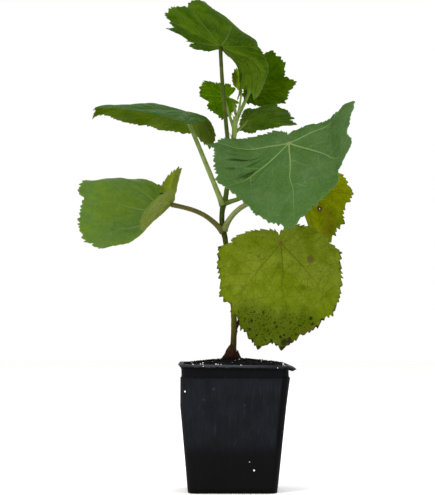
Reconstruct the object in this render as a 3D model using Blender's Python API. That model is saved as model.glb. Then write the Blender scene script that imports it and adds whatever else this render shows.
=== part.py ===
# A young broad-leaved tree in a square plastic nursery pot, one named solid for each part.
# Named sizes are in millimetres and degrees, the meshes are in metres, and +Z is up.
# The origin is the middle of the pot's flat underside, and -Y is the front.

import math
import random

import bmesh
import bpy
from mathutils import Matrix, Vector

MM = 0.001
GAP = 0.3                      # clearance kept between pieces that touch

# Pot: rounded square sections from the underside to the lip
POT_BASE_HALF = 41.7
POT_MIDDLE = (81.0, 49.5, 0.6)         # height, half width, sideways shift
POT_SHOULDER = (107.0, 50.9, 2.4)
COLLAR_HALF = 49.8
LIP_BOTTOM = 115.3
LIP_TOP = 119.0
LIP_HALF = 54.9
LIP_SHIFT = 4.4
LIP_EDGE = 0.6
SHOULDER_STEP = 1.0
POT_EDGE = 0.8
POT_CORNER = 9.0
POT_WALL = 1.4
POT_FLOOR = 2.0
DRAIN_RADIUS = 4.5
DRAIN_REACH = 25.0
SIDE_POINTS = 3
CORNER_POINTS = 4

# Soil: a mound that rises from the lip to the stem's foot
SOIL_EDGE = 117.4
SOIL_PEAK = 124.7
SOIL_LUMP = 0.9
SOIL_RINGS = 7
FOOT_PAD = 9.5

# Stem: centre line as (height, sideways place), with the kink where the low leaves leave it
STEM_FOOT = SOIL_PEAK + GAP
STEM_WAY = (
    (STEM_FOOT, 0.2),
    (150.0, 1.6),
    (176.0, 0.9),
    (203.0, -2.6),
    (236.0, -6.6),
    (250.0, -9.4),
    (262.0, -9.6),
    (279.0, -5.9),
    (317.0, -0.2),
    (352.0, 3.1),
)
STEM_LOW_RADIUS = 2.9
STEM_TOP_RADIUS = 2.2
FLARE_RADIUS = 2.2
FLARE_RISE = 5.5
FLARE_RIB = 0.14
STEM_CAP = ((1.1, 0.8), (1.8, 0.4))    # height over the top ring, share of its girth
STEM_SIDES = 12
STEM_RINGS = 26

# Dry sheath round the stem's foot, tall at its front left and with a short spike on its right
SHEATH_LOW = 0.4
SHEATH_LEAST = 2.4
SHEATH_TALL = 10.4
SHEATH_SPIKE = 5.0
SHEATH_SPIKE_WAY = -12.0
SHEATH_TALL_WAY = 228.0
SHEATH_THICK_FOOT = 2.9
SHEATH_LEAN = 1.3              # how much thicker its foot is on the tall side
SHEATH_THICK_TOP = 1.0
SHEATH_BULGE = 2.8             # how late it thins on the way up
SHEATH_STEPS = 24
SHEATH_ROWS = 4

# Small dry bud on the stem, and the growing tip above the stem's top
BUD_PLACE = (6.6, 0.0, 154.3)
BUD_LENGTH = 8.4
BUD_RADIUS = 1.5
SHOOT_WAY = (-2.5, -1.0, 13.0)
SHOOT_RADIUS = 1.3

# Leaf blade: its reach in each direction from the petiole, as a share of the length to the tip
REACH_ANGLES = (0, 15, 30, 45, 62, 80, 100, 122, 150, 180)
REACH_SHARES = (1.0, 0.95, 0.88, 0.81, 0.70, 0.61, 0.50, 0.34, 0.21, 0.09)
BLADE_RINGS = (0.28, 0.55, 0.8, 1.0)
BLADE_RAYS = 72
YOUNG_RINGS = (0.5, 1.0)
YOUNG_RAYS = 40
TOOTH_SHARE = 0.02
BLADE_THICKNESS = 1.2
YOUNG_THICKNESS = 0.8

# Each leaf: seat is the top of its petiole, length runs to the tip, and turn, rise and roll place it.
# left and right are the reach of its two halves at the angles between the first and the last one,
# as shares of the usual blade's. A fold is (direction, distance from the seat, bend, width), and it
# bends all that lies beyond it.
LEAVES = {
    "top": dict(
        seat=(-10.2, -14.0, 418.9), length=93, turn=-78, rise=13, roll=-25,
        left=(0.92, 0.73, 0.66, 0.71, 1.46, 1.29, 1.53, 0.80),
        right=(0.99, 1.02, 0.89, 1.01, 1.04, 1.09, 1.16, 1.48),
        folds=((32, 36, -23, 15), (114, 20, -88, 26), (-128, 70, -54, 29), (-151, 64, -61, 12)),
    ),
    "upper_left": dict(
        seat=(-44.0, 6.0, 359.2), length=94, turn=172, rise=15, roll=-3,
        left=(0.95, 0.90, 0.85, 0.70, 0.65, 0.90, 1.10, 1.30),
        right=(0.90, 0.90, 0.80, 1.00, 1.10, 1.20, 1.80, 1.45),
        folds=(
            (-7, 74, -66, 26), (-148, 17, -37, 17), (-25, 20, -21, 12),
            (94, -3, -17, 9), (-92, -3, -17, 9),
        ),
    ),
    "left": dict(
        seat=(-58.2, -18.0, 270.0), length=87, turn=181, rise=11, roll=-43,
        left=(1.09, 1.24, 1.29, 0.80, 1.22, 1.76, 1.48, 1.18),
        right=(1.17, 1.22, 1.15, 0.75, 0.92, 1.25, 1.17, 0.77),
        folds=((-70, 44, -66, 35), (133, 43, 8, 37), (157, -20, 80, 19), (-170, -2, 71, 8)),
    ),
    "front": dict(
        seat=(52.6, -32.0, 325.6), length=107, turn=-88, rise=-48, roll=24,
        left=(0.90, 0.90, 1.15, 1.35, 1.45, 1.00, 0.75, 0.75),
        right=(0.95, 0.95, 1.00, 1.10, 1.15, 1.30, 1.15, 1.15),
        folds=((116, 67, -63, 34), (-79, 24, 42, 28), (90, 34, 50, 12)),
    ),
    "low_front": dict(
        seat=(45.1, -38.0, 232.0), length=99, turn=-71, rise=-82, roll=3,
        left=(0.95, 0.95, 0.95, 0.95, 0.95, 0.90, 0.90, 0.95),
        right=(1.05, 1.00, 1.00, 1.00, 1.05, 0.85, 0.70, 0.70),
        folds=((-2, 61, -28, 12),),
    ),
    "right_back": dict(
        seat=(68.0, 24.0, 288.6), length=82, turn=-74, rise=-70, roll=-3,
        left=(0.85, 0.75, 0.80, 0.80, 1.00, 1.15, 1.35, 1.15),
        right=(0.80, 0.70, 0.70, 0.75, 0.85, 0.95, 1.00, 1.00),
        folds=((-72, -1, 49, 6),),
    ),
    "crown_left": dict(
        seat=(-6.1, 16.0, 373.6), length=31, turn=144, rise=6, roll=58, young=True,
        left=(1.00, 1.00, 0.95, 0.80, 0.85, 0.95, 1.60, 1.40),
        right=(0.85, 1.05, 1.05, 1.25, 1.15, 1.15, 1.40, 1.70),
        folds=((96, 8, -31, 12),),
    ),
    "crown_right": dict(
        seat=(18.2, 34.0, 382.4), length=44, turn=-28, rise=33, roll=-50, young=True,
        left=(0.90, 1.10, 1.05, 1.15, 1.00, 0.95, 1.00, 0.80),
        right=(1.05, 1.00, 0.90, 0.95, 0.95, 0.95, 0.90, 0.85),
        folds=((-101, -7, 45, 12),),
    ),
    "crown_low": dict(
        seat=(14.2, 14.0, 353.2), length=45, turn=4, rise=-3, roll=-17, young=True,
        left=(1.05, 0.90, 0.85, 0.95, 1.20, 1.10, 0.70, 0.75),
        right=(1.00, 1.10, 1.15, 1.30, 0.80, 0.70, 0.65, 0.75),
        folds=((92, 4, -6, 12),),
    ),
    "crown_young": dict(
        seat=(7.5, 12.0, 379.0), length=26, turn=60, rise=54, roll=-57, young=True,
        left=(1.00, 1.00, 1.00, 0.95, 0.90, 0.90, 0.90, 1.00),
        right=(0.90, 0.95, 1.05, 1.10, 1.15, 1.10, 0.85, 0.95),
        folds=((-81, 1, 49, 6),),
    ),
}

# Each petiole: the stem height it leaves from, its pull away from the stem and its pull into the leaf.
# One that arches over a wide gap is in two pieces that meet at bend, a share of its curve.
PETIOLES = {
    "top": dict(height=306.0, leave=(-3, -9, 28), arrive=(1, -4, -36), thick=2.1, thin=1.7),
    "upper_left": dict(height=268.0, leave=(-8, 0, 20), arrive=(10, -2, -24), thick=2.5, thin=1.9),
    "left": dict(height=243.0, leave=(-16, -4, 19), arrive=(20, 4, -4), thick=2.5, thin=2.1),
    "front": dict(height=271.0, leave=(22, 3, 5), arrive=(-6, 14, -34), thick=2.0, thin=1.8),
    "low_front": dict(
        height=244.0, leave=(16, -10, 46), arrive=(26, 38, 46), thick=2.6, thin=2.0, bend=0.47,
    ),
    "right_back": dict(height=292.0, leave=(18, 8, 18), arrive=(-22, 2, 22), thick=1.9, thin=1.6),
    "crown_left": dict(height=342.0, leave=(-4, 5, 8), arrive=(2, -3, -9), thick=1.5, thin=1.0),
    "crown_right": dict(height=348.5, leave=(4, 11, 9), arrive=(-4, -10, -11), thick=1.9, thin=1.5),
    "crown_low": dict(height=337.0, leave=(4, 3, 5), arrive=(-3, -4, -7), thick=1.3, thin=1.0),
    "crown_young": dict(height=349.0, leave=(4, -4, 9), arrive=(-1, -3, -9), thick=1.1, thin=0.8),
}
PETIOLE_SIDES = 8
PETIOLE_RINGS = 14
PETIOLE_END = (35, 65)         # degrees round the rounded end at which it has a ring


def clear_scene():
    for item in list(bpy.data.objects):
        bpy.data.objects.remove(item, do_unlink=True)


def finish(name, color, roughness, metallic=0.0):
    material = bpy.data.materials.new(name)
    material.use_nodes = True
    shader = material.node_tree.nodes["Principled BSDF"]
    shader.inputs["Base Color"].default_value = (*color, 1.0)
    shader.inputs["Roughness"].default_value = roughness
    shader.inputs["Metallic"].default_value = metallic
    return material


def solid(name, points, faces, color, roughness, smooth=True):
    # A mesh object from points in millimetres
    mesh = bpy.data.meshes.new(name)
    mesh.from_pydata([Vector(point) * MM for point in points], [], faces)
    shape = bmesh.new()
    shape.from_mesh(mesh)
    bmesh.ops.recalc_face_normals(shape, faces=shape.faces)
    shape.to_mesh(mesh)
    shape.free()
    if smooth:
        mesh.shade_smooth()
        mesh.set_sharp_from_angle(angle=math.radians(40))
    mesh.materials.append(finish(name, color, roughness))
    piece = bpy.data.objects.new(name, mesh)
    bpy.context.collection.objects.link(piece)
    return piece


def hide_as_cutter(piece):
    piece.hide_render = True
    piece.display_type = "WIRE"


def cut(piece, cutter):
    modifier = piece.modifiers.new("cut", "BOOLEAN")
    modifier.operation = "DIFFERENCE"
    modifier.solver = "EXACT"
    modifier.object = cutter


def stacked(rings, closed_ends=True):
    # Points and faces of a skin over rings that all have the same count of points
    count = len(rings[0])
    points = [point for ring in rings for point in ring]
    faces = []
    for row in range(len(rings) - 1):
        for step in range(count):
            following = (step + 1) % count
            low = row * count
            high = low + count
            faces.append((low + step, low + following, high + following, high + step))
    if closed_ends:
        faces.append(tuple(range(count)))
        top = (len(rings) - 1) * count
        faces.append(tuple(top + step for step in reversed(range(count))))
    return points, faces


def rounded_square(half, corner, height, shift=0.0):
    # One section: each corner is an arc, and each side has a few points between its arcs
    corner = min(corner, half)
    inner = half - corner
    ring = []
    for quarter in range(4):
        middle = math.radians(45 + 90 * quarter)
        centre = (math.copysign(inner, math.cos(middle)), math.copysign(inner, math.sin(middle)))
        arc = []
        for step in range(CORNER_POINTS):
            angle = middle + math.radians(90) * (step / (CORNER_POINTS - 1) - 0.5)
            arc.append((centre[0] + corner * math.cos(angle), centre[1] + corner * math.sin(angle)))
        ring += arc
        turned = (-arc[0][1], arc[0][0])
        for step in range(1, SIDE_POINTS + 1):
            share = step / (SIDE_POINTS + 1)
            ring.append(tuple(a + (b - a) * share for a, b in zip(arc[-1], turned)))
    return [(x + shift, y, height) for x, y in ring]


def inner_half(height):
    # Half width and shift of the pot's inner wall at a height
    top = (LIP_TOP, COLLAR_HALF, LIP_SHIFT / 2)
    stations = [(0.0, POT_BASE_HALF, 0.0), POT_MIDDLE, POT_SHOULDER, top]
    for low, high in zip(stations, stations[1:]):
        if height <= high[0]:
            share = (height - low[0]) / (high[0] - low[0])
            half = low[1] + (high[1] - low[1]) * share
            shift = low[2] + (high[2] - low[2]) * share
            return half - POT_WALL, shift
    return COLLAR_HALF - POT_WALL, LIP_SHIFT / 2


def make_pot():
    # The corners open out a little on the way up, and the widest ones are the lip's
    corner = POT_CORNER
    outside = [
        rounded_square(POT_BASE_HALF - POT_EDGE, corner, 0.0),
        rounded_square(POT_BASE_HALF, corner, POT_EDGE),
        rounded_square(POT_MIDDLE[1], corner + 2, POT_MIDDLE[0], POT_MIDDLE[2]),
        rounded_square(POT_SHOULDER[1], corner + 3, POT_SHOULDER[0], POT_SHOULDER[2]),
        rounded_square(COLLAR_HALF, corner + 2, POT_SHOULDER[0] + SHOULDER_STEP, POT_SHOULDER[2]),
        rounded_square(COLLAR_HALF, corner + 2, LIP_BOTTOM, LIP_SHIFT / 2),
        rounded_square(LIP_HALF, corner + 4, LIP_BOTTOM, LIP_SHIFT),
        rounded_square(LIP_HALF, corner + 4, LIP_TOP - LIP_EDGE, LIP_SHIFT),
        rounded_square(LIP_HALF - LIP_EDGE, corner + 4, LIP_TOP, LIP_SHIFT),
    ]
    inside = []
    for height in (LIP_TOP, POT_SHOULDER[0], POT_MIDDLE[0], POT_FLOOR):
        half, shift = inner_half(height)
        inside.append(rounded_square(half, corner + 1, height, shift))
    points, faces = stacked(outside + inside)
    pot = solid("pot", points, faces, (0.016, 0.016, 0.018), 0.45)
    drains = bmesh.new()
    for side_x in (-1, 1):
        for side_y in (-1, 1):
            place = Matrix.Translation((side_x * DRAIN_REACH * MM, side_y * DRAIN_REACH * MM, 0.0))
            bmesh.ops.create_cone(
                drains, cap_ends=True, segments=16, depth=4 * POT_FLOOR * MM,
                radius1=DRAIN_RADIUS * MM, radius2=DRAIN_RADIUS * MM, matrix=place,
            )
    mesh = bpy.data.meshes.new("drain_cutter")
    drains.to_mesh(mesh)
    drains.free()
    cutter = bpy.data.objects.new("drain_cutter", mesh)
    bpy.context.collection.objects.link(cutter)
    hide_as_cutter(cutter)
    cut(pot, cutter)
    return pot


def make_soil():
    draw = random.Random(5)
    rings = []
    for height in (POT_FLOOR + GAP, POT_MIDDLE[0], POT_SHOULDER[0], SOIL_EDGE):
        half, shift = inner_half(height)
        rings.append(rounded_square(half - GAP, POT_CORNER + 1, height, shift))
    edge_half, edge_shift = inner_half(SOIL_EDGE)
    edge_half -= GAP
    for step in range(1, SOIL_RINGS + 1):
        share = step / SOIL_RINGS
        half = edge_half + (FOOT_PAD - edge_half) * share
        corner = POT_CORNER + (half - POT_CORNER) * share
        height = SOIL_EDGE + (SOIL_PEAK - SOIL_EDGE) * share ** 0.9
        ring = rounded_square(half, corner, height, edge_shift * (1 - share))
        if step < SOIL_RINGS:
            ring = [(x, y, z + draw.uniform(-1, 1) * SOIL_LUMP) for x, y, z in ring]
        rings.append(ring)
    points, faces = stacked(rings)
    return solid("soil", points, faces, (0.022, 0.017, 0.013), 0.95, smooth=False)


def smooth_way(stations, share):
    # A smooth value between stations (place, value), with place running from first to last
    place = stations[0][0] + (stations[-1][0] - stations[0][0]) * share
    index = 0
    while index < len(stations) - 2 and place > stations[index + 1][0]:
        index += 1
    slopes = []
    for spot in (index, index + 1):
        before = stations[max(spot - 1, 0)]
        after = stations[min(spot + 1, len(stations) - 1)]
        slopes.append((after[1] - before[1]) / (after[0] - before[0]))
    low, high = stations[index], stations[index + 1]
    span = high[0] - low[0]
    t = (place - low[0]) / span
    value = (2 * t**3 - 3 * t**2 + 1) * low[1] + (t**3 - 2 * t**2 + t) * span * slopes[0]
    value += (3 * t**2 - 2 * t**3) * high[1] + (t**3 - t**2) * span * slopes[1]
    return place, value


def stem_point(height):
    share = (height - STEM_WAY[0][0]) / (STEM_WAY[-1][0] - STEM_WAY[0][0])
    return Vector((smooth_way(STEM_WAY, share)[1], 0.0, height))


def stem_radius(height):
    share = (height - STEM_FOOT) / (STEM_WAY[-1][0] - STEM_FOOT)
    flare = FLARE_RADIUS * math.exp(-(height - STEM_FOOT) / FLARE_RISE)
    return STEM_LOW_RADIUS + (STEM_TOP_RADIUS - STEM_LOW_RADIUS) * share + flare


def stem_rings(extra):
    # Rings of the stem, extra millimetres fatter, with four low ribs in its root flare
    rings = []
    top = STEM_WAY[-1][0]
    for row in range(STEM_RINGS):
        height = STEM_FOOT + (top - STEM_FOOT) * (row / (STEM_RINGS - 1)) ** 1.15
        centre = stem_point(height)
        ribs = FLARE_RIB * math.exp(-(height - STEM_FOOT) / FLARE_RISE)
        ring = []
        for step in range(STEM_SIDES):
            angle = math.tau * step / STEM_SIDES
            radius = (stem_radius(height) + extra) * (1 + ribs * math.cos(4 * angle + 0.6))
            ring.append(centre + Vector((math.cos(angle), math.sin(angle), 0)) * radius)
        rings.append(ring)
    for lift, share in STEM_CAP:
        centre = stem_point(top) + Vector((0.1 * lift, 0, lift))
        rings.append([centre + (point - stem_point(top)) * share for point in rings[STEM_RINGS - 1]])
    return rings


def make_stem():
    points, faces = stacked(stem_rings(0.0))
    return solid("stem", points, faces, (0.10, 0.12, 0.03), 0.6)


def make_stem_clearance():
    rings = stem_rings(GAP)
    rings[0] = [point - Vector((0, 0, 1)) for point in rings[0]]
    points, faces = stacked(rings)
    clearance = solid("stem_clearance", points, faces, (0.5, 0.5, 0.5), 0.5)
    hide_as_cutter(clearance)
    return clearance


def sheath_height(angle):
    # The sheath's upper edge over its lower one: tall at the front left, with a spike to the right
    tall = SHEATH_TALL * max(math.cos(angle - math.radians(SHEATH_TALL_WAY)), 0.0) ** 0.9
    spike = SHEATH_SPIKE * max(math.cos(angle - math.radians(SHEATH_SPIKE_WAY)), 0.0) ** 14
    return SHEATH_LEAST + tall + spike


def make_sheath():
    rings = []
    for step in range(SHEATH_STEPS):
        angle = math.tau * step / SHEATH_STEPS
        outward = Vector((math.cos(angle), math.sin(angle), 0))
        inner, outer = [], []
        for row in range(SHEATH_ROWS + 1):
            share = row / SHEATH_ROWS
            height = STEM_FOOT + SHEATH_LOW + sheath_height(angle) * share
            centre = stem_point(height)
            rib = FLARE_RIB * math.exp(-(height - STEM_FOOT) / FLARE_RISE)
            radius = stem_radius(height) * (1 + rib)
            foot = SHEATH_THICK_FOOT + SHEATH_LEAN * math.cos(angle - math.radians(SHEATH_TALL_WAY))
            thick = foot + (SHEATH_THICK_TOP - foot) * share ** SHEATH_BULGE
            inner.append(centre + outward * (radius + GAP))
            outer.append(centre + outward * (radius + GAP + thick))
        rings.append(inner + outer[::-1])
    rings.append(rings[0])
    points, faces = stacked(rings, closed_ends=False)
    sheath = solid("base_sheath", points, faces, (0.06, 0.022, 0.015), 0.8, smooth=False)
    shape = bmesh.new()
    shape.from_mesh(sheath.data)
    bmesh.ops.remove_doubles(shape, verts=shape.verts, dist=0.001 * MM)
    bmesh.ops.recalc_face_normals(shape, faces=shape.faces)
    shape.to_mesh(sheath.data)
    shape.free()
    return sheath


def make_spindle(name, foot, tip, radius, color):
    # A pointed bud along a line, fattest a third of the way up
    sides, rows = 8, 7
    along = tip - foot
    across = along.orthogonal().normalized()
    other = along.normalized().cross(across)
    rings = []
    for row in range(rows):
        share = (row + 0.35) / (rows - 0.3)
        girth = radius * math.sin(math.pi * share ** 0.7) ** 0.8
        centre = foot + along * share
        rings.append([
            centre + (across * math.cos(a) + other * math.sin(a)) * girth
            for a in (math.tau * step / sides for step in range(sides))
        ])
    points, faces = stacked(rings)
    return solid(name, points, faces, color, 0.6)


def reach(leaf, angle):
    # Distance from the seat to the margin in a direction, before the teeth
    side = leaf["left"] if angle >= 0 else leaf["right"]
    shares = [REACH_SHARES[0], *(a * b for a, b in zip(REACH_SHARES[1:-1], side)), REACH_SHARES[-1]]
    stations = list(zip(REACH_ANGLES, shares))
    turned = abs(math.degrees(angle)) / 180
    return leaf["length"] * smooth_way(stations, turned)[1]


def fold(point, direction, distance, bend, width):
    # Bends a point round a line across the blade, as a sheet bends over a rod
    across = Vector((math.cos(math.radians(direction)), math.sin(math.radians(direction)), 0))
    beyond = point.dot(across) - distance
    if beyond <= 0:
        return point.copy()
    turn = math.radians(bend)
    here = turn * min(beyond / width, 1.0)
    radius = width / turn
    past = max(beyond - width, 0.0)
    forward = radius * math.sin(here) + past * math.cos(turn) - point.z * math.sin(here)
    upward = radius * (1 - math.cos(here)) + past * math.sin(turn) + point.z * math.cos(here)
    moved = point + across * (forward - beyond)
    moved.z = upward
    return moved


def leaf_frame(leaf):
    turn = Matrix.Rotation(math.radians(leaf["turn"]), 3, "Z")
    rise = Matrix.Rotation(math.radians(-leaf["rise"]), 3, "Y")
    roll = Matrix.Rotation(math.radians(leaf["roll"]), 3, "X")
    return turn @ rise @ roll


def place_on_leaf(leaf, flat):
    # The place in the plant of a point of the flat blade
    point = Vector(flat)
    seat = Vector((0, 0, 0))
    for crease in leaf["folds"]:
        point = fold(point, *crease)
        seat = fold(seat, *crease)
    return leaf_frame(leaf) @ (point - seat) + Vector(leaf["seat"])


def seat_normal(leaf):
    # The way up from the blade at its seat
    step = 0.5
    middle = place_on_leaf(leaf, (0, 0, 0))
    ahead = place_on_leaf(leaf, (step, 0, 0)) - middle
    aside = place_on_leaf(leaf, (0, step, 0)) - middle
    return ahead.cross(aside).normalized()


def make_blade(name, leaf):
    young = leaf.get("young", False)
    rays = YOUNG_RAYS if young else BLADE_RAYS
    shares = YOUNG_RINGS if young else BLADE_RINGS
    points = [place_on_leaf(leaf, (0, 0, 0))]
    for share in shares:
        for step in range(rays):
            angle = math.pi * (1 - 2 * step / rays)
            tooth = TOOTH_SHARE * (1 if step % 2 else -1)
            length = reach(leaf, angle) * (share + (tooth if share == 1.0 else 0.0))
            points.append(place_on_leaf(leaf, (length * math.cos(angle), length * math.sin(angle), 0)))
    faces = []
    for step in range(rays):
        following = (step + 1) % rays
        faces.append((0, 1 + following, 1 + step))
        for ring in range(len(shares) - 1):
            low = 1 + ring * rays
            high = low + rays
            faces.append((low + step, low + following, high + following, high + step))
    blade = solid("leaf_" + name, points, faces, (0.09, 0.19, 0.03), 0.5)
    skin = blade.modifiers.new("thickness", "SOLIDIFY")
    skin.thickness = (YOUNG_THICKNESS if young else BLADE_THICKNESS) * MM
    skin.offset = 0.0
    return blade


def petiole_curve(name):
    # The petiole's centre line, from inside the stem to just under the blade's seat
    leaf = LEAVES[name]
    petiole = PETIOLES[name]
    thickness = YOUNG_THICKNESS if leaf.get("young", False) else BLADE_THICKNESS
    start = stem_point(petiole["height"])
    end = Vector(leaf["seat"]) - seat_normal(leaf) * (thickness / 2 + GAP + petiole["thin"])
    leave = start + Vector(petiole["leave"])
    arrive = end + Vector(petiole["arrive"])

    def way(t):
        return (
            start * (1 - t) ** 3 + leave * 3 * t * (1 - t) ** 2
            + arrive * 3 * t**2 * (1 - t) + end * t**3
        )

    return way


def make_limb(node, petiole, way, first, last):
    # A tapering tube along the stretch of a petiole's curve from first to last
    rows = round(PETIOLE_RINGS * (last - first))
    rings = []
    side = Vector((0, 1, 0))
    for step in range(rows + 1):
        share = first + (last - first) * step / rows
        ahead = (way(min(share + 0.01, 1.0)) - way(max(share - 0.01, 0.0))).normalized()
        side = (side - ahead * side.dot(ahead)).normalized()
        other = ahead.cross(side)
        radius = petiole["thick"] + (petiole["thin"] - petiole["thick"]) * share
        rings.append([
            way(share) + (side * math.cos(a) + other * math.sin(a)) * radius
            for a in (math.tau * step / PETIOLE_SIDES for step in range(PETIOLE_SIDES))
        ])
    if last == 1.0:
        end, rim = way(last), rings[rows]
        for angle in PETIOLE_END:
            lift = ahead * petiole["thin"] * math.sin(math.radians(angle))
            shrink = math.cos(math.radians(angle))
            rings.append([end + lift + (point - end) * shrink for point in rim])
    points, faces = stacked(rings)
    return solid(node, points, faces, (0.15, 0.21, 0.06), 0.5)


def make_petiole(name, clearance):
    # One limb, or two that meet at the bend where the petiole arches over a wide gap
    petiole = PETIOLES[name]
    way = petiole_curve(name)
    stretches = {"petiole_" + name: (0.0, 1.0)}
    if "bend" in petiole:
        bend = petiole["bend"]
        pace = (way(bend + 0.01) - way(bend - 0.01)).length / 0.02
        half_gap = GAP / 2 / pace
        stretches = {
            "petiole_" + name: (0.0, bend - half_gap),
            "petiole_" + name + "_end": (bend + half_gap, 1.0),
        }
    for node, (first, last) in stretches.items():
        limb = make_limb(node, petiole, way, first, last)
        if first == 0.0:
            cut(limb, clearance)


def main():
    clear_scene()
    make_pot()
    make_soil()
    make_stem()
    clearance = make_stem_clearance()
    make_sheath()
    foot = Vector(BUD_PLACE)
    make_spindle("stem_bud", foot, foot + Vector((0, 0, BUD_LENGTH)), BUD_RADIUS, (0.06, 0.03, 0.02))
    top = stem_point(STEM_WAY[-1][0]) + Vector((0, 0, STEM_CAP[-1][0] + GAP))
    make_spindle("shoot_tip", top, top + Vector(SHOOT_WAY), SHOOT_RADIUS, (0.25, 0.33, 0.08))
    for name, leaf in LEAVES.items():
        make_blade(name, leaf)
        make_petiole(name, clearance)


main()
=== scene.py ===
# The looks of a young broad-leaved tree in a square nursery pot.
# Lengths in the dictionaries are in millimetres and angles in degrees, and the front is -Y.

import math

import bpy
import numpy as np
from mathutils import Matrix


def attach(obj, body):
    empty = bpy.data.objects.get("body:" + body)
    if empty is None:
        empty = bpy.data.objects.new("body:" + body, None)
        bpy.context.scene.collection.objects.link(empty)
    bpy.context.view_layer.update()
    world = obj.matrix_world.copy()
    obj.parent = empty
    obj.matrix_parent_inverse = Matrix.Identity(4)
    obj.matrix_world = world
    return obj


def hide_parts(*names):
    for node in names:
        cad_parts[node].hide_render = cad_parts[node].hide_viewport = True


mm = 0.001
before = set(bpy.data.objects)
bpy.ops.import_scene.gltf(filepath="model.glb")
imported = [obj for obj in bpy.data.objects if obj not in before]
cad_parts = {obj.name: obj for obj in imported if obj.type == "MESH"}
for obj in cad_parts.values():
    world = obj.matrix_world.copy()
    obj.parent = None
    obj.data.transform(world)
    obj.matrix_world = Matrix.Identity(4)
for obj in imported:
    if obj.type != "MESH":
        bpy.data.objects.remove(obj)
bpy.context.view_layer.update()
bpy.ops.object.select_all(action="DESELECT")
print("frame loaded:", len(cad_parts), "solids")

photoView = {
    "place": (-14.0, -2000.0, 175.0),   # of the camera
    "pitch": 1.545,                     # how far it looks up
    "focal": 2110.0,                    # in pixels
    "size": (435, 495),                 # of the photo, in pixels
    "sensor": 36.0,
}


def photoPlace(points):
    # Where points fall in the photo, in pixels
    away = points - np.array(photoView["place"])
    pitch = math.radians(photoView["pitch"])
    depth = away[:, 1] * math.cos(pitch) + away[:, 2] * math.sin(pitch)
    up = away[:, 2] * math.cos(pitch) - away[:, 1] * math.sin(pitch)
    column = photoView["size"][0] / 2 + photoView["focal"] * away[:, 0] / depth
    row = photoView["size"][1] / 2 - photoView["focal"] * up / depth
    return np.stack([column, row], axis=1)


def smoothThrough(stations, at):
    # A smooth value through stations (place, value), read at many places
    places, values = (np.array(column, float) for column in zip(*stations))
    last = len(places) - 1
    before = np.maximum(np.arange(last + 1) - 1, 0)
    after = np.minimum(np.arange(last + 1) + 1, last)
    slopes = (values[after] - values[before]) / (places[after] - places[before])
    low = np.clip(np.searchsorted(places, at) - 1, 0, last - 1)
    span = places[low + 1] - places[low]
    t = (at - places[low]) / span
    value = (2 * t**3 - 3 * t**2 + 1) * values[low] + (t**3 - 2 * t**2 + t) * span * slopes[low]
    return value + (3 * t**2 - 2 * t**3) * values[low + 1] + (t**3 - t**2) * span * slopes[low + 1]


def easyStep(value, low, high):
    t = np.clip((value - low) / (high - low), 0, 1)
    return t * t * (3 - 2 * t)


def hump(value, middle, width):
    return np.exp(-((value - middle) / width) ** 2)


def softNoise(points, size, seed):
    # Smooth random values from -1 to 1, in lumps of one size
    count = 24
    lattice = np.random.default_rng(seed).uniform(-1, 1, (count, count, count))
    scaled = points / size
    low = np.floor(scaled).astype(int)
    t = scaled - low
    t = t * t * (3 - 2 * t)
    value = np.zeros(len(points))
    for corner in np.ndindex(2, 2, 2):
        weight = np.prod(np.where(corner, t, 1 - t), axis=1)
        spot = (low + corner) % count
        value += weight * lattice[spot[:, 0], spot[:, 1], spot[:, 2]]
    return value


def layered(points, layers, seed):
    # Layers of noise: height, size of the lumps, and a factor on upward places (below 1 draws lumps out)
    total = 0
    for number, (height, size, upwards) in enumerate(layers):
        total = total + height * softNoise(points * (1, 1, upwards), size, seed + number)
    return total


# Shading: a wire is a socket that can be written in sums, and a paint is one material

class Wire:
    def __init__(self, paint, socket):
        self.paint = paint
        self.socket = socket

    def maths(self, operation, *others):
        values = dict(enumerate((self, *others)))
        return self.paint.node("ShaderNodeMath", {"operation": operation}, values)

    def flipped(self, operation, other):
        return self.paint.node("ShaderNodeMath", {"operation": operation}, {0: other, 1: self})

    def __add__(self, other):
        return self.maths("ADD", other)

    def __sub__(self, other):
        return self.maths("SUBTRACT", other)

    def __rsub__(self, other):
        return self.flipped("SUBTRACT", other)

    def __mul__(self, other):
        return self.maths("MULTIPLY", other)

    def __truediv__(self, other):
        return self.maths("DIVIDE", other)

    def __rtruediv__(self, other):
        return self.flipped("DIVIDE", other)

    __radd__ = __add__
    __rmul__ = __mul__


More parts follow.
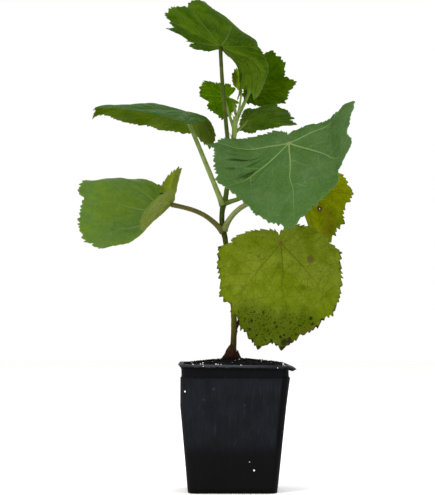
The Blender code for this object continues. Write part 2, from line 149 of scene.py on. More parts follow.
class Paint:
    def __init__(self, name):
        self.material = bpy.data.materials.new(name)
        self.material.use_nodes = True
        self.tree = self.material.node_tree
        self.shader = self.tree.nodes["Principled BSDF"]

    def node(self, kind, settings=None, values=None, output=0):
        made = self.tree.nodes.new(kind)
        for key, value in (settings or {}).items():
            if key == "stops":
                ramp = made.color_ramp.elements
                while len(ramp) < len(value):
                    ramp.new(1.0)
                for stop, (place, tint) in zip(ramp, value):
                    stop.position = place
                    stop.color = tint
            else:
                setattr(made, key, value)
        for key, value in (values or {}).items():
            if isinstance(value, Wire):
                self.tree.links.new(value.socket, made.inputs[key])
            else:
                made.inputs[key].default_value = value
        return Wire(self, made.outputs[output])

    def objectPlace(self):
        return self.node("ShaderNodeTexCoord", output="Object")

    def stored(self, name):
        return self.node("ShaderNodeAttribute", {"attribute_name": name}, output="Vector")

    def parts(self, vector):
        split = self.node("ShaderNodeSeparateXYZ", values={0: vector}).socket.node
        return [Wire(self, split.outputs[index]) for index in range(3)]

    def grain(self, vector, size, detail=3.0, roughness=0.55):
        # Noise in lumps of about one size
        values = {"Vector": vector, "Scale": 1 / (size * mm), "Detail": detail, "Roughness": roughness}
        return self.node("ShaderNodeTexNoise", values=values)

    def streaks(self, vector, stretch, size, detail=4.0, roughness=0.6):
        # Noise that is drawn out upwards
        return self.grain(self.vector("MULTIPLY", vector, (1, 1, stretch)), size, detail, roughness)

    def fade(self, value, low, high):
        # 0 at low and 1 at high, and low may be the larger one
        settings = {"interpolation_type": "SMOOTHSTEP"}
        return self.node("ShaderNodeMapRange", settings, {0: value, 1: low, 2: high})

    def mix(self, share, first, second, way="MIX"):
        settings = {"data_type": "RGBA", "blend_type": way}
        return self.node("ShaderNodeMix", settings, {0: share, 6: first, 7: second}, output=2)

    def shaded(self, colour, pattern, dark, light, share=0.5):
        # The colour, darker and lighter by a pattern
        greys = self.mix(pattern, (dark, dark, dark, 1), (light, light, light, 1))
        return self.mix(share, colour, greys, "OVERLAY")

    def ramp(self, value, stops):
        stops = [(place, tone(*tint)) for place, tint in stops]
        return self.node("ShaderNodeValToRGB", {"stops": stops}, {0: value})

    def vector(self, operation, first, second, output=0):
        return self.node("ShaderNodeVectorMath", {"operation": operation}, {0: first, 1: second}, output)

    def spots(self, place, spots):
        # How far a place lies outside the nearest of some round spots (place, radius)
        nearest = None
        for middle, radius in spots:
            gap = self.vector("DISTANCE", place, middle, output="Value") - radius
            nearest = gap if nearest is None else nearest.maths("MINIMUM", gap)
        return nearest

    def bump(self, height, strength, depth):
        values = {"Height": height, "Strength": strength, "Distance": depth * mm}
        return self.node("ShaderNodeBump", values=values)

    def finish(self, **sockets):
        names = dict(colour="Base Color", roughness="Roughness", normal="Normal", gloss="Specular IOR Level")
        for key, value in sockets.items():
            socket = self.shader.inputs[names[key]]
            if isinstance(value, Wire):
                self.tree.links.new(value.socket, socket)
            else:
                socket.default_value = value
        return self.material


roomLight = 1.75      # how much brighter a surface looks in the studio than its own colour


def tone(red, green, blue, light=roomLight):
    # The colour that looks like this, from 0 to 255, under the studio's light
    shares = [value / 255 for value in (red, green, blue)]
    plain = [v / 12.92 if v <= 0.04045 else ((v + 0.055) / 1.055) ** 2.4 for v in shares]
    return (*(value / light for value in plain), 1.0)


# Shaping

def readAll(items, name, kind=float, width=1):
    # One value of every item, or a row of them
    values = np.zeros(len(items) * width, kind)
    items.foreach_get(name, values)
    return values.reshape(-1, width) if width > 1 else values


def readPoints(piece):
    return readAll(piece.data.vertices, "co", width=3) / mm


def placePoints(piece, points):
    piece.data.vertices.foreach_set("co", (points * mm).ravel())
    piece.data.update()


def roundPlaces(angles, radius, third):
    # Points round the upright axis
    return np.stack([np.cos(angles) * radius, np.sin(angles) * radius, third], axis=1)


def facing(angles, way):
    # 1 where the angles look the given way and 0 on the far side
    return 0.5 + 0.5 * np.cos(angles - way)


def gridPiece(name, columns, rows, rule, note="skin"):
    # A flat grid whose points are put in place by rule(u, v), u and v running from 0 to 1. The rule
    # gives the places, and either None or the numbers that are stored under the name note.
    bpy.ops.mesh.primitive_grid_add(x_subdivisions=columns, y_subdivisions=rows, size=1)
    piece = bpy.context.object
    piece.name = piece.data.name = name
    flat = readPoints(piece) * mm + 0.5
    places, numbers = rule(flat[:, 0], flat[:, 1])
    placePoints(piece, places)
    if numbers is not None:
        attribute = piece.data.attributes.new(note, "FLOAT_VECTOR", "POINT")
        attribute.data.foreach_set("vector", numbers.ravel())
    inEditMode(bpy.ops.mesh.remove_doubles, threshold=0.002 * mm)
    bpy.ops.object.shade_smooth()
    return piece


def inEditMode(operator, **values):
    bpy.ops.object.mode_set(mode="EDIT")
    bpy.ops.mesh.select_all(action="SELECT")
    operator(**values)
    bpy.ops.mesh.select_all(action="DESELECT")
    bpy.ops.object.mode_set(mode="OBJECT")


def faceOutwards():
    inEditMode(bpy.ops.mesh.normals_make_consistent, inside=False)


def applied(piece, kind, **settings):
    modifier = piece.modifiers.new(kind.lower(), kind)
    for key, value in settings.items():
        setattr(modifier, key, value)
    bpy.ops.object.modifier_apply(modifier=modifier.name)


def ready(piece, slot, materials, *nodes):
    # The piece is finished, takes its place on the plant and stands for its solids
    for material in materials:
        piece.data.materials.append(material)
    bpy.ops.object.select_all(action="DESELECT")
    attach(piece, "root")
    if nodes:
        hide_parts(*nodes)


def closedPiece(name, grid, rule, slot, material, *nodes):
    # A grid that closes on itself, with its material and the solids it stands for; its slot is not used
    piece = gridPiece(name, *grid, rule)
    faceOutwards()
    ready(piece, slot, [material], *nodes)


# Leaves

blade = {
    "angles": (0, 15, 30, 45, 62, 80, 100, 122, 150, 180),     # from the way to the tip
    "shares": (1.0, 0.95, 0.88, 0.81, 0.70, 0.61, 0.50, 0.34, 0.21, 0.09),    # reach there
    "old": {"rays": 432, "rings": 46, "thickness": 0.5, "seatDrop": 1.2},
    "young": {"rays": 288, "rings": 30, "thickness": 0.4, "seatDrop": 0.8},
    "toothGap": 6.0,
    "toothDepth": 3.4,
    "toothRange": (0.45, 1.3),          # how much shallower and deeper some teeth are
    "toothRise": 0.3,                   # share of a tooth on its steep side
    "toothSway": (0.3, 1.7),            # how far and how often the gaps between teeth vary
    "toothFoot": 0.93,                  # share of the way out where the teeth begin to shape the blade
    "curl": 0.10,                       # how far the side veins bend to the tip
    "wander": (0.02, 0.2),              # how far veins stray and in what lumps, as shares of the length
    "forkAngle": 47.0,                  # between a main vein and its side veins
    "groove": (0.45, 0.02),             # depth of a main vein on the upper side, and its width as a share
    "ridge": (0.45, 0.011),             # height of a main vein on the under side, and its width as a share
    "sideRidge": (0.35, 0.12),          # the same of a side vein: share of that height, and width
    "quilt": 0.5,
    "lump": (0.9, 0.16),                # height of the broad lumps, and their size as a share
    "fan": (1.1, 13, 4),                # creases from the seat: depth, how many round and how many outwards
    "extraFan": 2.5,                    # how much deeper they are where the looks name a creased place
    "waves": (0.9, (9, 1.0), (17, 0.7)),    # height at the margin, then how many round it and their share
    "youngTeeth": 0.75,
    "youngPleat": 1.5,
}

leaves = {
    "top": dict(
        seat=(-10.2, -14.0, 418.9), length=93, turn=-78, rise=13, roll=-25,
        left=(0.92, 0.73, 0.66, 0.71, 1.46, 1.29, 1.53, 0.80),
        right=(0.99, 1.02, 0.89, 1.01, 1.04, 1.09, 1.16, 1.48),
        folds=((32, 36, -23, 15), (114, 20, -88, 26), (-128, 70, -54, 29), (-151, 64, -61, 12)),
        lobes=(
            (-76, 5, 2.5), (-88, 5, -3.5), (-108, 6, 11.0), (-98, 4, -3.0), (-149, 10, 11.0), (-160, 5, 4.0),
            (-140, 8, 9.0), (-129, 5, 5.0), (-134, 3, -3.0),
            (-168, 6, -5.0), (-43, 4, -2.5), (-36, 4, 1.5), (15, 3, -2.4), (87, 4, 4.0), (94, 4, -2.7),
            (178, 6, -4.0), (156, 6, -4.0), (132, 5, -5.0), (72, 4, 6.0), (78, 3, -2.5), (101, 3, 3.5),
            (107, 3, -3.0), (113, 3, 3.5), (120, 4, -3.0),
        ),
    ),
    "upper_left": dict(
        seat=(-44.0, 6.0, 359.2), length=94, turn=172, rise=15, roll=-3,
        left=(0.95, 0.90, 0.85, 0.70, 0.65, 0.90, 1.10, 1.30),
        right=(0.90, 0.90, 0.80, 1.00, 1.10, 1.20, 1.80, 1.45),
        folds=(
            (-7, 74, -66, 26), (-148, 17, -37, 17), (-25, 20, -21, 12),
            (94, -3, -17, 9), (-92, -3, -17, 9),
        ),
        lobes=((1, 4, 2.5), (5, 3, -2.5), (-146, 5, 2.3), (-115, 4, -2.9), (180, 5, -4.0), (-95, 3, -1.5)),
    ),
    "left": dict(
        seat=(-58.2, -18.0, 270.0), length=87, turn=181, rise=11, roll=-43,
        left=(1.09, 1.24, 1.29, 0.80, 1.22, 1.76, 1.48, 1.18),
        right=(1.17, 1.22, 1.15, 0.75, 0.92, 1.25, 1.17, 0.77),
        folds=((-70, 44, -66, 35), (133, 43, 8, 37), (157, -20, 80, 19), (-170, -2, 71, 8)),
        lobes=((-6, 5, 3.6), (41, 3, -4.3), (47, 4, 3.0), (52, 3, -4.0), (-40, 4, -4.0), (165, 4, 3.0)),
    ),
    "front": dict(
        seat=(52.6, -32.0, 325.6), length=107, turn=-88, rise=-48, roll=24,
        left=(0.90, 0.90, 1.15, 1.35, 1.45, 1.00, 0.75, 0.75),
        right=(0.95, 0.95, 1.00, 1.10, 1.15, 1.30, 1.15, 1.15),
        folds=((116, 67, -63, 34), (-79, 24, 42, 28), (90, 34, 50, 12)),
        lobes=(
            (-91, 3, 9.0), (-54, 4, 4.2), (-22, 4, 4.0), (-14, 3, 2.6), (-2, 5, 5.5), (38, 5, -12.0),
            (52, 7, 6.0), (62, 7, -14.0), (132, 5, -5.0), (-175, 5, 3.7), (79, 3, 3.0), (70, 5, -7.0),
            (89, 9.5, -14.0),
        ),
    ),
    "low_front": dict(
        seat=(45.1, -38.0, 232.0), length=99, turn=-71, rise=-82, roll=3,
        left=(0.95, 0.95, 0.95, 0.95, 0.95, 0.90, 0.90, 0.95),
        right=(1.05, 1.00, 1.00, 1.00, 1.05, 0.85, 0.70, 0.70),
        folds=((-2, 61, -28, 12),),
        lobes=(
            (-13, 4, 4.0), (-6, 5, -5.0), (1, 4, 1.5), (12, 4, -2.7), (29, 3, -2.1), (35, 3, 2.4),
            (81, 4, 3.1), (90, 4, -2.8), (178, 5, 3.1), (-171, 6, -4.0), (-91, 3, -5.0), (-86, 3, 4.0),
            (-76, 3, -3.0), (-52, 3, 3.8), (-42, 4, -4.9), (-34, 3, -3.0), (-31, 4, -2.0), (-28, 3, 1.8),
            (-23, 3, -1.9),
        ),
    ),
    "right_back": dict(
        seat=(68.0, 24.0, 288.6), length=82, turn=-74, rise=-70, roll=-3,
        left=(0.85, 0.75, 0.80, 0.80, 1.00, 1.15, 1.35, 1.15),
        right=(0.80, 0.70, 0.70, 0.75, 0.85, 0.95, 1.00, 1.00),
        folds=((-72, -1, 49, 6),),
        lobes=((84, 4, 2.4), (29, 4, 2.5), (53, 4, -1.5), (95, 4, -1.4), (10, 4, 2.0), (-70, 4, 2.5)),
    ),
    "crown_left": dict(
        seat=(-6.1, 16.0, 373.6), length=31, turn=144, rise=6, roll=58,
        left=(1.00, 1.00, 0.95, 0.80, 0.85, 0.95, 1.60, 1.40),
        right=(0.85, 1.05, 1.05, 1.25, 1.15, 1.15, 1.40, 1.70),
        folds=((96, 8, -31, 12),),
        lobes=(
            (44, 8, 0.9), (-3, 7, 0.9), (-16, 7, -1.2), (-68, 8, 1.3), (-99, 8, -1.6), (126, 9, 2.6),
            (146, 14, 8.0), (-158, 12, 7.0),
        ),
    ),
    "crown_right": dict(
        seat=(18.2, 34.0, 382.4), length=44, turn=-28, rise=33, roll=-50,
        left=(0.90, 1.10, 1.05, 1.15, 1.00, 0.95, 1.00, 0.80),
        right=(1.05, 1.00, 0.90, 0.95, 0.95, 0.95, 0.90, 0.85),
        folds=((-101, -7, 45, 12),),
        lobes=(
            (-24, 8, 3.9), (-9, 5, 1.3), (0, 5, 1.3), (5, 3, -1.5), (16, 4, -1.2), (30, 6, 2.6),
            (72, 8, -1.7), (64, 4, 1.4), (42, 4, -1.2), (150, 26, 8.0), (180, 26, 8.0),
        ),
    ),
    "crown_low": dict(
        seat=(14.2, 14.0, 353.2), length=45, turn=4, rise=-3, roll=-17,
        left=(1.05, 0.90, 0.85, 0.95, 1.20, 1.10, 0.70, 0.75),
        right=(1.00, 1.10, 1.15, 1.30, 0.80, 0.70, 0.65, 0.75),
        folds=((92, 4, -6, 12),),
        lobes=(
            (-59, 6, 2.6), (-45, 4, -1.2), (-37, 5, 2.4), (-22, 5, -1.5), (-8, 4, 2.0), (-2, 4, -4.2),
            (9, 6, 4.6), (23, 5, -1.6), (98, 5, 4.0), (107, 4, -3.0), (-94, 26, 7.0),
        ),
    ),
    "crown_young": dict(
        seat=(7.5, 12.0, 379.0), length=26, turn=60, rise=54, roll=-57,
        left=(1.00, 1.00, 1.00, 0.95, 0.90, 0.90, 0.90, 1.00),
        right=(0.90, 0.95, 1.05, 1.10, 1.15, 1.10, 0.85, 0.95),
        folds=((-81, 1, 49, 6),),
    ),
}

# The finish of each leaf: two greens for each side, its veins, how far apart they stand, and their strength,
# how deep the creases are and how dark their painted shade is, and the painted light and painted shade on
# parts of the under side
plainLooks = dict(
    side=0.5, net=0.16, mesh=0.0, reach=1.0, spread=180, patchy=0.2, crease=0.15, rimShow=0.15, bold=1.0,
    creased=(), lit=(),
)
leafLooks = {
    "top": dict(
        upper=((72, 116, 66), (84, 128, 74)), under=((68, 104, 0), (92, 128, 4)),
        vein=(136, 162, 66), rib=(120, 138, 40), pitch=42, fork=0.06, show=0.5, side=0.9, crease=0.35,
        # painted light brightens part of the under side
        spread=125, creased=((104, 0.5, 0.36, 0.6),), lit=((100, 36, (108, 140, 30), 0.55),),
    ),
    "upper_left": dict(
        upper=((70, 107, 42), (60, 98, 28)), under=((102, 130, 0), (86, 114, 0)),
        vein=(106, 134, 30), rib=(106, 130, 24), pitch=44, fork=0.13, show=0.25, crease=0.2,
        # painted shade darkens part of the under side
        lit=((-146, 52, (66, 80, 0), 0.7),),
    ),
    "left": dict(
        upper=((98, 130, 56), (103, 134, 42)), under=((130, 144, 46), (114, 132, 24)),
        vein=(140, 166, 92), rib=(128, 150, 70), pitch=37, fork=0.22, show=0.6, side=0.3, patchy=0.15,
        # painted light brightens a lobe of the under side
        spread=60, crease=0.08, bold=2.4, lit=((-112, 26, (150, 168, 44), 0.7),),
    ),
    "front": dict(
        upper=((88, 121, 66), (78, 114, 54)), under=((96, 128, 30), (82, 114, 14)),
        vein=(142, 170, 104), rib=(150, 152, 108), pitch=50, fork=0.27, show=0.8, side=0.6, reach=1.2,
        crease=0.12, spread=128, bold=1.25, creased=((-68, 0.44, 0.27, 1.2), (96, 0.42, 0.18, 0.7)),
    ),
    "low_front": dict(
        upper=((108, 127, 14), (125, 141, 36)), under=((122, 138, 40), (106, 124, 22)),
        vein=(80, 84, 4), rib=(116, 96, 36), pitch=43, fork=0.17, show=0.6, side=0.9, net=0.5, mesh=0.36,
        spread=66, reach=0.9, patchy=0.12, rimShow=0.5, crease=0.05,
    ),
    "right_back": dict(
        upper=((134, 146, 0), (116, 134, 0)), under=((134, 140, 34), (120, 124, 16)),
        vein=(96, 76, 10), rib=(120, 84, 30), pitch=42, fork=0.2, show=0.6, net=0.25, mesh=0.35, patchy=0.3,
        rimShow=0.3,
    ),
    "crown_left": dict(
        upper=((84, 128, 30), (96, 138, 40)), under=((90, 134, 0), (112, 152, 2)),
        vein=(112, 148, 30), rib=(108, 138, 34), pitch=38, fork=0.15, show=0.5, crease=0.4,
    ),
    "crown_right": dict(
        upper=((74, 118, 30), (86, 128, 40)), under=((66, 98, 0), (82, 114, 0)),
        vein=(92, 128, 18), rib=(96, 128, 24), pitch=38, fork=0.13, show=0.5, crease=0.4,
    ),
    "crown_low": dict(
        upper=((74, 118, 30), (86, 128, 40)), under=((66, 102, 0), (86, 116, 0)),
        vein=(92, 124, 18), rib=(96, 128, 24), pitch=38, fork=0.13, show=0.4, crease=0.4,
    ),
    "crown_young": dict(
        # painted light: the under side is much lighter, for light that shines through this thin leaf in the
        # shade
        upper=((112, 136, 40), (124, 140, 50)), under=((126, 160, 8), (160, 156, 40)),
        vein=(150, 170, 80), rib=(140, 120, 60), pitch=38, fork=0.18, show=0.7, crease=0.5,
    ),
}

# Marks that show in the photo: pixel column and row there, and radius in millimetres
leafMarks = {
    "low_front": {
        "dull": ((262, 330, 15), (248, 322, 9), (283, 330, 11), (268, 343, 6), (303, 322, 5)),
        "shade": ((279, 264.6, 2.6), (258, 256, 1.2), (246, 309, 2), (303, 288, 2), (229, 288, 2)),
        "brown": ((310.3, 259.5, 3.2), (320, 272, 1.2), (303, 333, 2.4), (309, 330, 2.4), (316, 326, 2.2)),
        "burnt": (
            (284, 342, 2.8), (289, 340, 2.6), (291, 344, 2.0), (296, 335, 1.2), (323, 321, 2.4),
            (317, 326, 1.2), (250, 341, 1.6), (258, 347, 1.4), (282, 347, 2.0), (244, 333, 1.2),
            (341, 270, 1.0), (219, 258, 1.0), (219, 246, 1.2), (218, 295, 1.2), (342, 254, 1.0),
        ),
        "black": (
            (251, 321, 1.2), (250, 328, 1.3), (256, 336, 1.2), (263, 313, 0.9), (275, 323, 1.0),
            (276, 327, 0.8), (291, 322, 1.0), (280, 337, 1.4), (258, 318, 0.7), (268, 331, 0.8),
            (272, 341, 1.2), (284, 335, 1.0), (310, 318, 1.5), (312, 324, 1.2), (263, 326, 0.6),
            (254, 313, 0.6), (300, 326, 0.7), (266, 340, 0.9), (246, 318, 0.8),
        ),
    },
    "right_back": {
        "tan": ((319.3, 208.5, 3.4), (327, 214, 4.0), (327, 232, 4.5), (331, 224, 3.0), (312, 222, 2.4)),
        "burnt": ((319.3, 208.5, 2.1),),
    },
    "left": {
        "brown": ((161.2, 205.0, 0.9),),
        "shade": ((128, 181, 1.0), (112, 230, 1.2), (126, 231, 0.9), (143, 228, 1.2), (156, 214, 1.4)),
    },
}
# The colour of each kind of mark, its strength and how soft its edge is
markLooks = {
    "dull": ((56, 74, 2), 0.56, 0.18),
    "shade": ((70, 92, 14), 0.5, 0.02),
    "tan": ((120, 90, 20), 0.36, 0.05),
    "brown": ((104, 86, 44), 0.75, 0.008),
    "burnt": ((48, 34, 20), 0.85, 0.016),
    "black": ((22, 26, 4), 0.9, 0.008),
}
leafHoles = {"right_back": (319.3, 208.5)}     # pixel column and row
holeRadius = 0.85
agedLeaves = ("low_front", "right_back")       # yellow, with a dry edge
agedTones = {"specks": (26, 32, 2), "dry": (84, 66, 34)}


def atAngle(degrees, out=1.0):
    # The place on the flat that lies so far out in a direction
    angle = math.radians(degrees)
    return np.array((out * math.cos(angle), out * math.sin(angle), 0.0))


def foldedOver(points, direction, distance, bend, width):
    # Points bent round a line across the blade, as a sheet bends over a rod
    across = atAngle(direction)
    beyond = points @ across - distance
    turn = math.radians(bend)
    here = turn * np.minimum(beyond / width, 1.0)
    radius = width / turn
    past = np.maximum(beyond - width, 0.0)
    height = points[:, 2]
    forward = radius * np.sin(here) + past * math.cos(turn) - height * np.sin(here)
    upward = radius * (1 - np.cos(here)) + past * math.sin(turn) + height * np.cos(here)
    bent = points + (forward - beyond)[:, None] * across
    bent[:, 2] = upward
    return np.where((beyond > 0)[:, None], bent, points)


def turned(degrees, axis):
    # A turn about one axis, for points written as rows
    angle = math.radians(degrees)
    first, second = ((1, 2), (2, 0), (0, 1))[axis]
    matrix = np.eye(3)
    matrix[first, first] = matrix[second, second] = math.cos(angle)
    matrix[first, second] = math.sin(angle)
    matrix[second, first] = -math.sin(angle)
    return matrix


def onPlant(leaf, flat):
    # Where points of the flat blade lie on the plant
    points = np.vstack([flat, np.zeros(3)])
    for crease in leaf["folds"]:
        points = foldedOver(points, *crease)
    stance = turned(leaf["roll"], 0) @ turned(-leaf["rise"], 1) @ turned(leaf["turn"], 2)
    return (points[:-1] - points[-1]) @ stance + np.array(leaf["seat"])


def seatNormal(leaf):
    step = 0.5
    middle, ahead, aside = onPlant(leaf, np.array([[0, 0, 0], [step, 0, 0], [0, step, 0.0]]))
    up = np.cross(ahead - middle, aside - middle)
    return up / np.linalg.norm(up)


def lobed(leaf, angles):
    # Pointed tips and nicks of the margin: how far it goes out or in
    change = np.zeros(len(angles))
    for middle, width, size in leaf.get("lobes", ()):
        gap = np.abs((angles - middle + 180) % 360 - 180)
        change += size * np.maximum(1 - gap / width, 0)
    return change


def marginReach(leaf, angles, draw):
    # From the seat to the margin, without teeth and with teeth that point to the tip
    fine = np.linspace(0, 180, 1200)
    reach = np.zeros((2, len(angles)))
    for side, sign in (("left", 1), ("right", -1)):
        factors = (1.0, *leaf[side], 1.0)
        stations = [(a, s * f) for a, s, f in zip(blade["angles"], blade["shares"], factors)]
        plain = leaf["length"] * smoothThrough(stations, fine) + lobed(leaf, fine * sign)
        across = np.hypot(np.diff(plain), plain[1:] * np.diff(np.radians(fine)))
        run = np.concatenate([[0.0], np.cumsum(across)]) / leaf["toothGap"]
        sway, often = blade["toothSway"]
        run += sway * np.sin(run * often + draw.uniform(0, 6)) + 0.35
        tooth = np.floor(run).astype(int)
        part = run - tooth
        depth = draw.uniform(*blade["toothRange"], tooth.max() + 1)[tooth]
        steep = blade["toothRise"]
        rise = np.where(part < steep, part / steep, (1 - part) / (1 - steep)) - 0.5
        size = blade["toothDepth"] * leaf["toothGap"] / blade["toothGap"]
        toothed = plain + rise * depth * size
        chosen = angles * sign >= 0
        for row, margin in enumerate((plain, toothed)):
            reach[row, chosen] = np.interp(np.abs(angles[chosen]), fine, margin)
    return reach


def veinRun(x, y, pitch, fork):
    # Along and beside the nearest main vein, and how far between two side veins, all in shares
    turn = np.arctan2(y, x)
    away = np.hypot(x, y)
    off = turn - np.round(turn / math.radians(pitch)) * math.radians(pitch)
    along, beside = away * np.cos(off), away * np.sin(off)
    run = (along - np.abs(beside) / math.tan(math.radians(blade["forkAngle"]))) / fork
    run += 0.25 * np.sign(beside)
    return along, np.abs(beside), run - np.floor(run)


def bladePiece(name, seed):
    leaf, looks = leaves[name], plainLooks | leafLooks[name]
    young = name.startswith("crown")
    sizes = blade["young" if young else "old"]
    leaf["toothGap"] = blade["toothGap"] * (blade["youngTeeth"] if young else 1.0)
    draw = np.random.default_rng(seed)

    def rule(u, v):
        angles = 180 * (1 - 2 * u)
        plain, full = marginReach(leaf, angles, draw)
        reach = v * (plain + (full - plain) * easyStep(v, blade["toothFoot"], 1.0))
        x, y = reach * np.cos(np.radians(angles)), reach * np.sin(np.radians(angles))
        sheet = np.stack([x, y, np.zeros(len(x))], axis=1)

        # the veins' own places, which stray a little and bend to the tip
        size = leaf["length"]
        away, way = np.hypot(x, y) / size, np.arctan2(y, x)
        way = way + blade["curl"] * away * np.sin(way)
        stray, lump = blade["wander"]
        stray = stray * easyStep(away, 0.0, 0.5)
        veinX = away * np.cos(way) + stray * softNoise(sheet, lump * size, seed)
        veinY = away * np.sin(way) + stray * softNoise(sheet, lump * size, seed + 50)
        along, beside, run = veinRun(veinX, veinY, looks["pitch"], looks["fork"])

        # grooves over the main veins, a quilt between the side veins, and creases from the seat
        pleat = size / 100 * (blade["youngPleat"] if young else 1.0)
        inner = 1 - easyStep(v, 0.8, 1.0)
        depth, wide = blade["groove"]
        lift = -depth * hump(beside, 0, wide) * (1 - easyStep(along, 0.5, 0.9))
        lift += blade["quilt"] * (0.5 - 0.5 * np.cos(math.tau * run)) * easyStep(beside, 0.0, 0.06) * inner
        lift *= pleat
        depth, around, outwards = blade["fan"]
        fan = softNoise(np.stack([way * around, away * outwards, 0 * way], axis=1), 1.0, seed + 70)
        local = 1.0
        for angle, out, wide, strength in looks["creased"]:
            gap = np.hypot(*(np.stack([veinX, veinY]) - atAngle(angle, out)[:2, None]))
            local = local + blade["extraFan"] * strength * hump(gap, 0, wide)
        lift += depth * looks["crease"] * pleat * fan * easyStep(away, 0.06, 0.4) * inner * local

        # broad lumps, and waves that grow to the margin and leave the seat's notch flat
        height, lump = blade["lump"]
        lift += height * size / 100 * softNoise(sheet, lump * size, seed + 9) * easyStep(v, 0.1, 0.5)
        height, *waves = blade["waves"]
        around = np.radians(angles)
        wave = sum(s * np.sin(around * n + k * seed) for k, (n, s) in enumerate(waves, 1))
        lift += height * size / 100 * wave * easyStep(v, 0.55, 1.0) * np.cos(around / 2) ** 0.5
        sheet[:, 2] = lift
        return onPlant(leaf, sheet), np.stack([veinX, veinY, v], axis=1)

    piece = gridPiece("blade_" + name, sizes["rays"], sizes["rings"], rule, "veins")
    marks = {kind: [] for kind in markLooks}
    seen = photoPlace(readPoints(piece))
    veins = readAll(piece.data.attributes["veins"].data, "vector", width=3)
    for kind, spots in leafMarks.get(name, {}).items():
        for column, row, radius in spots:
            nearest = np.argmin(np.hypot(seen[:, 0] - column, seen[:, 1] - row))
            marks[kind].append(((*veins[nearest][:2], 0.0), radius / leaf["length"]))
    if name in leafHoles:
        pierce(piece, np.argmin(np.hypot(*(seen - np.array(leafHoles[name])).T)))
    for side in ("upper", "under"):
        piece.data.materials.append(leafPaint(name, looks, side, marks))
    applied(piece, "SOLIDIFY", thickness=sizes["thickness"] * mm, offset=0, material_offset=1)
    raiseVeins(piece, looks, leaf["length"] / 100)
    slot = "young_leaf" if young else "old_leaf" if name in agedLeaves else "leaf"
    ready(piece, slot, [], "leaf_" + name)


def pierce(piece, middle):
    # A small round hole: one point goes, and its neighbours stand round it
    points = readPoints(piece)
    around = {corner for face in piece.data.polygons if middle in face.vertices for corner in face.vertices}
    around = list(around - {int(middle)})
    gaps = points[around] - points[middle]
    points[around] = points[middle] + holeRadius * gaps / np.linalg.norm(gaps, axis=1)[:, None]
    placePoints(piece, points)
    piece.data.vertices[int(middle)].select = True
    bpy.ops.object.mode_set(mode="EDIT")
    bpy.ops.mesh.delete(type="VERT")
    bpy.ops.object.mode_set(mode="OBJECT")


def raiseVeins(piece, looks, scale):
    # Veins stand out on the under side
    faces = piece.data.polygons
    under = readAll(faces, "material_index", int)
    starts = readAll(faces, "loop_start", int)
    corners = readAll(piece.data.loops, "vertex_index", int)
    owner = np.repeat(np.arange(len(faces)), np.diff(np.append(starts, len(corners))))
    chosen = np.zeros(len(piece.data.vertices), bool)
    chosen[corners[under[owner] == 1]] = True
    normals = readAll(piece.data.vertices, "normal", width=3)
    veins = readAll(piece.data.attributes["veins"].data, "vector", width=3)
    along, beside, run = veinRun(veins[:, 0], veins[:, 1], looks["pitch"], looks["fork"])
    rise, wide = blade["ridge"]
    height = rise * hump(beside, 0, wide) * (1 - easyStep(along, 0.2, 0.95))
    share, wide = blade["sideRidge"]
    height += share * rise * hump(np.minimum(run, 1 - run), 0, wide) * (1 - easyStep(beside, 0.1, 0.3))
    height *= scale * chosen * (1 - easyStep(veins[:, 2], 0.9, 1.0))
    placePoints(piece, readPoints(piece) + normals * height[:, None])


# How veins are drawn on the blades, in shares of a blade's length
veinPaint = {
    "main": (0.0088, 0.0070, 0.75),     # half width at the seat, how much of it goes, and by where
    "side": (0.0055, 0.0015, 0.30),     # half width, of its full part too, and how far it runs
    "nets": ((26.0, 0.10), (9.5, 0.085)),   # cells in a length and line width, of the fine and the wide net
    "sway": (14.0, 0.05),               # how often and how far the nets stray
    # the painted shade of the creases is drawn from this noise
    "fan": (11.0, 0.3),                 # creases in a radian, and how much fewer outwards
}
# The size of what mottles the greens, in millimetres
greenLumps = {"broad": 26.0, "blotch": 6.5, "mottle": 2.2, "fray": 0.8, "specks": 1.4, "dry": 7.0}


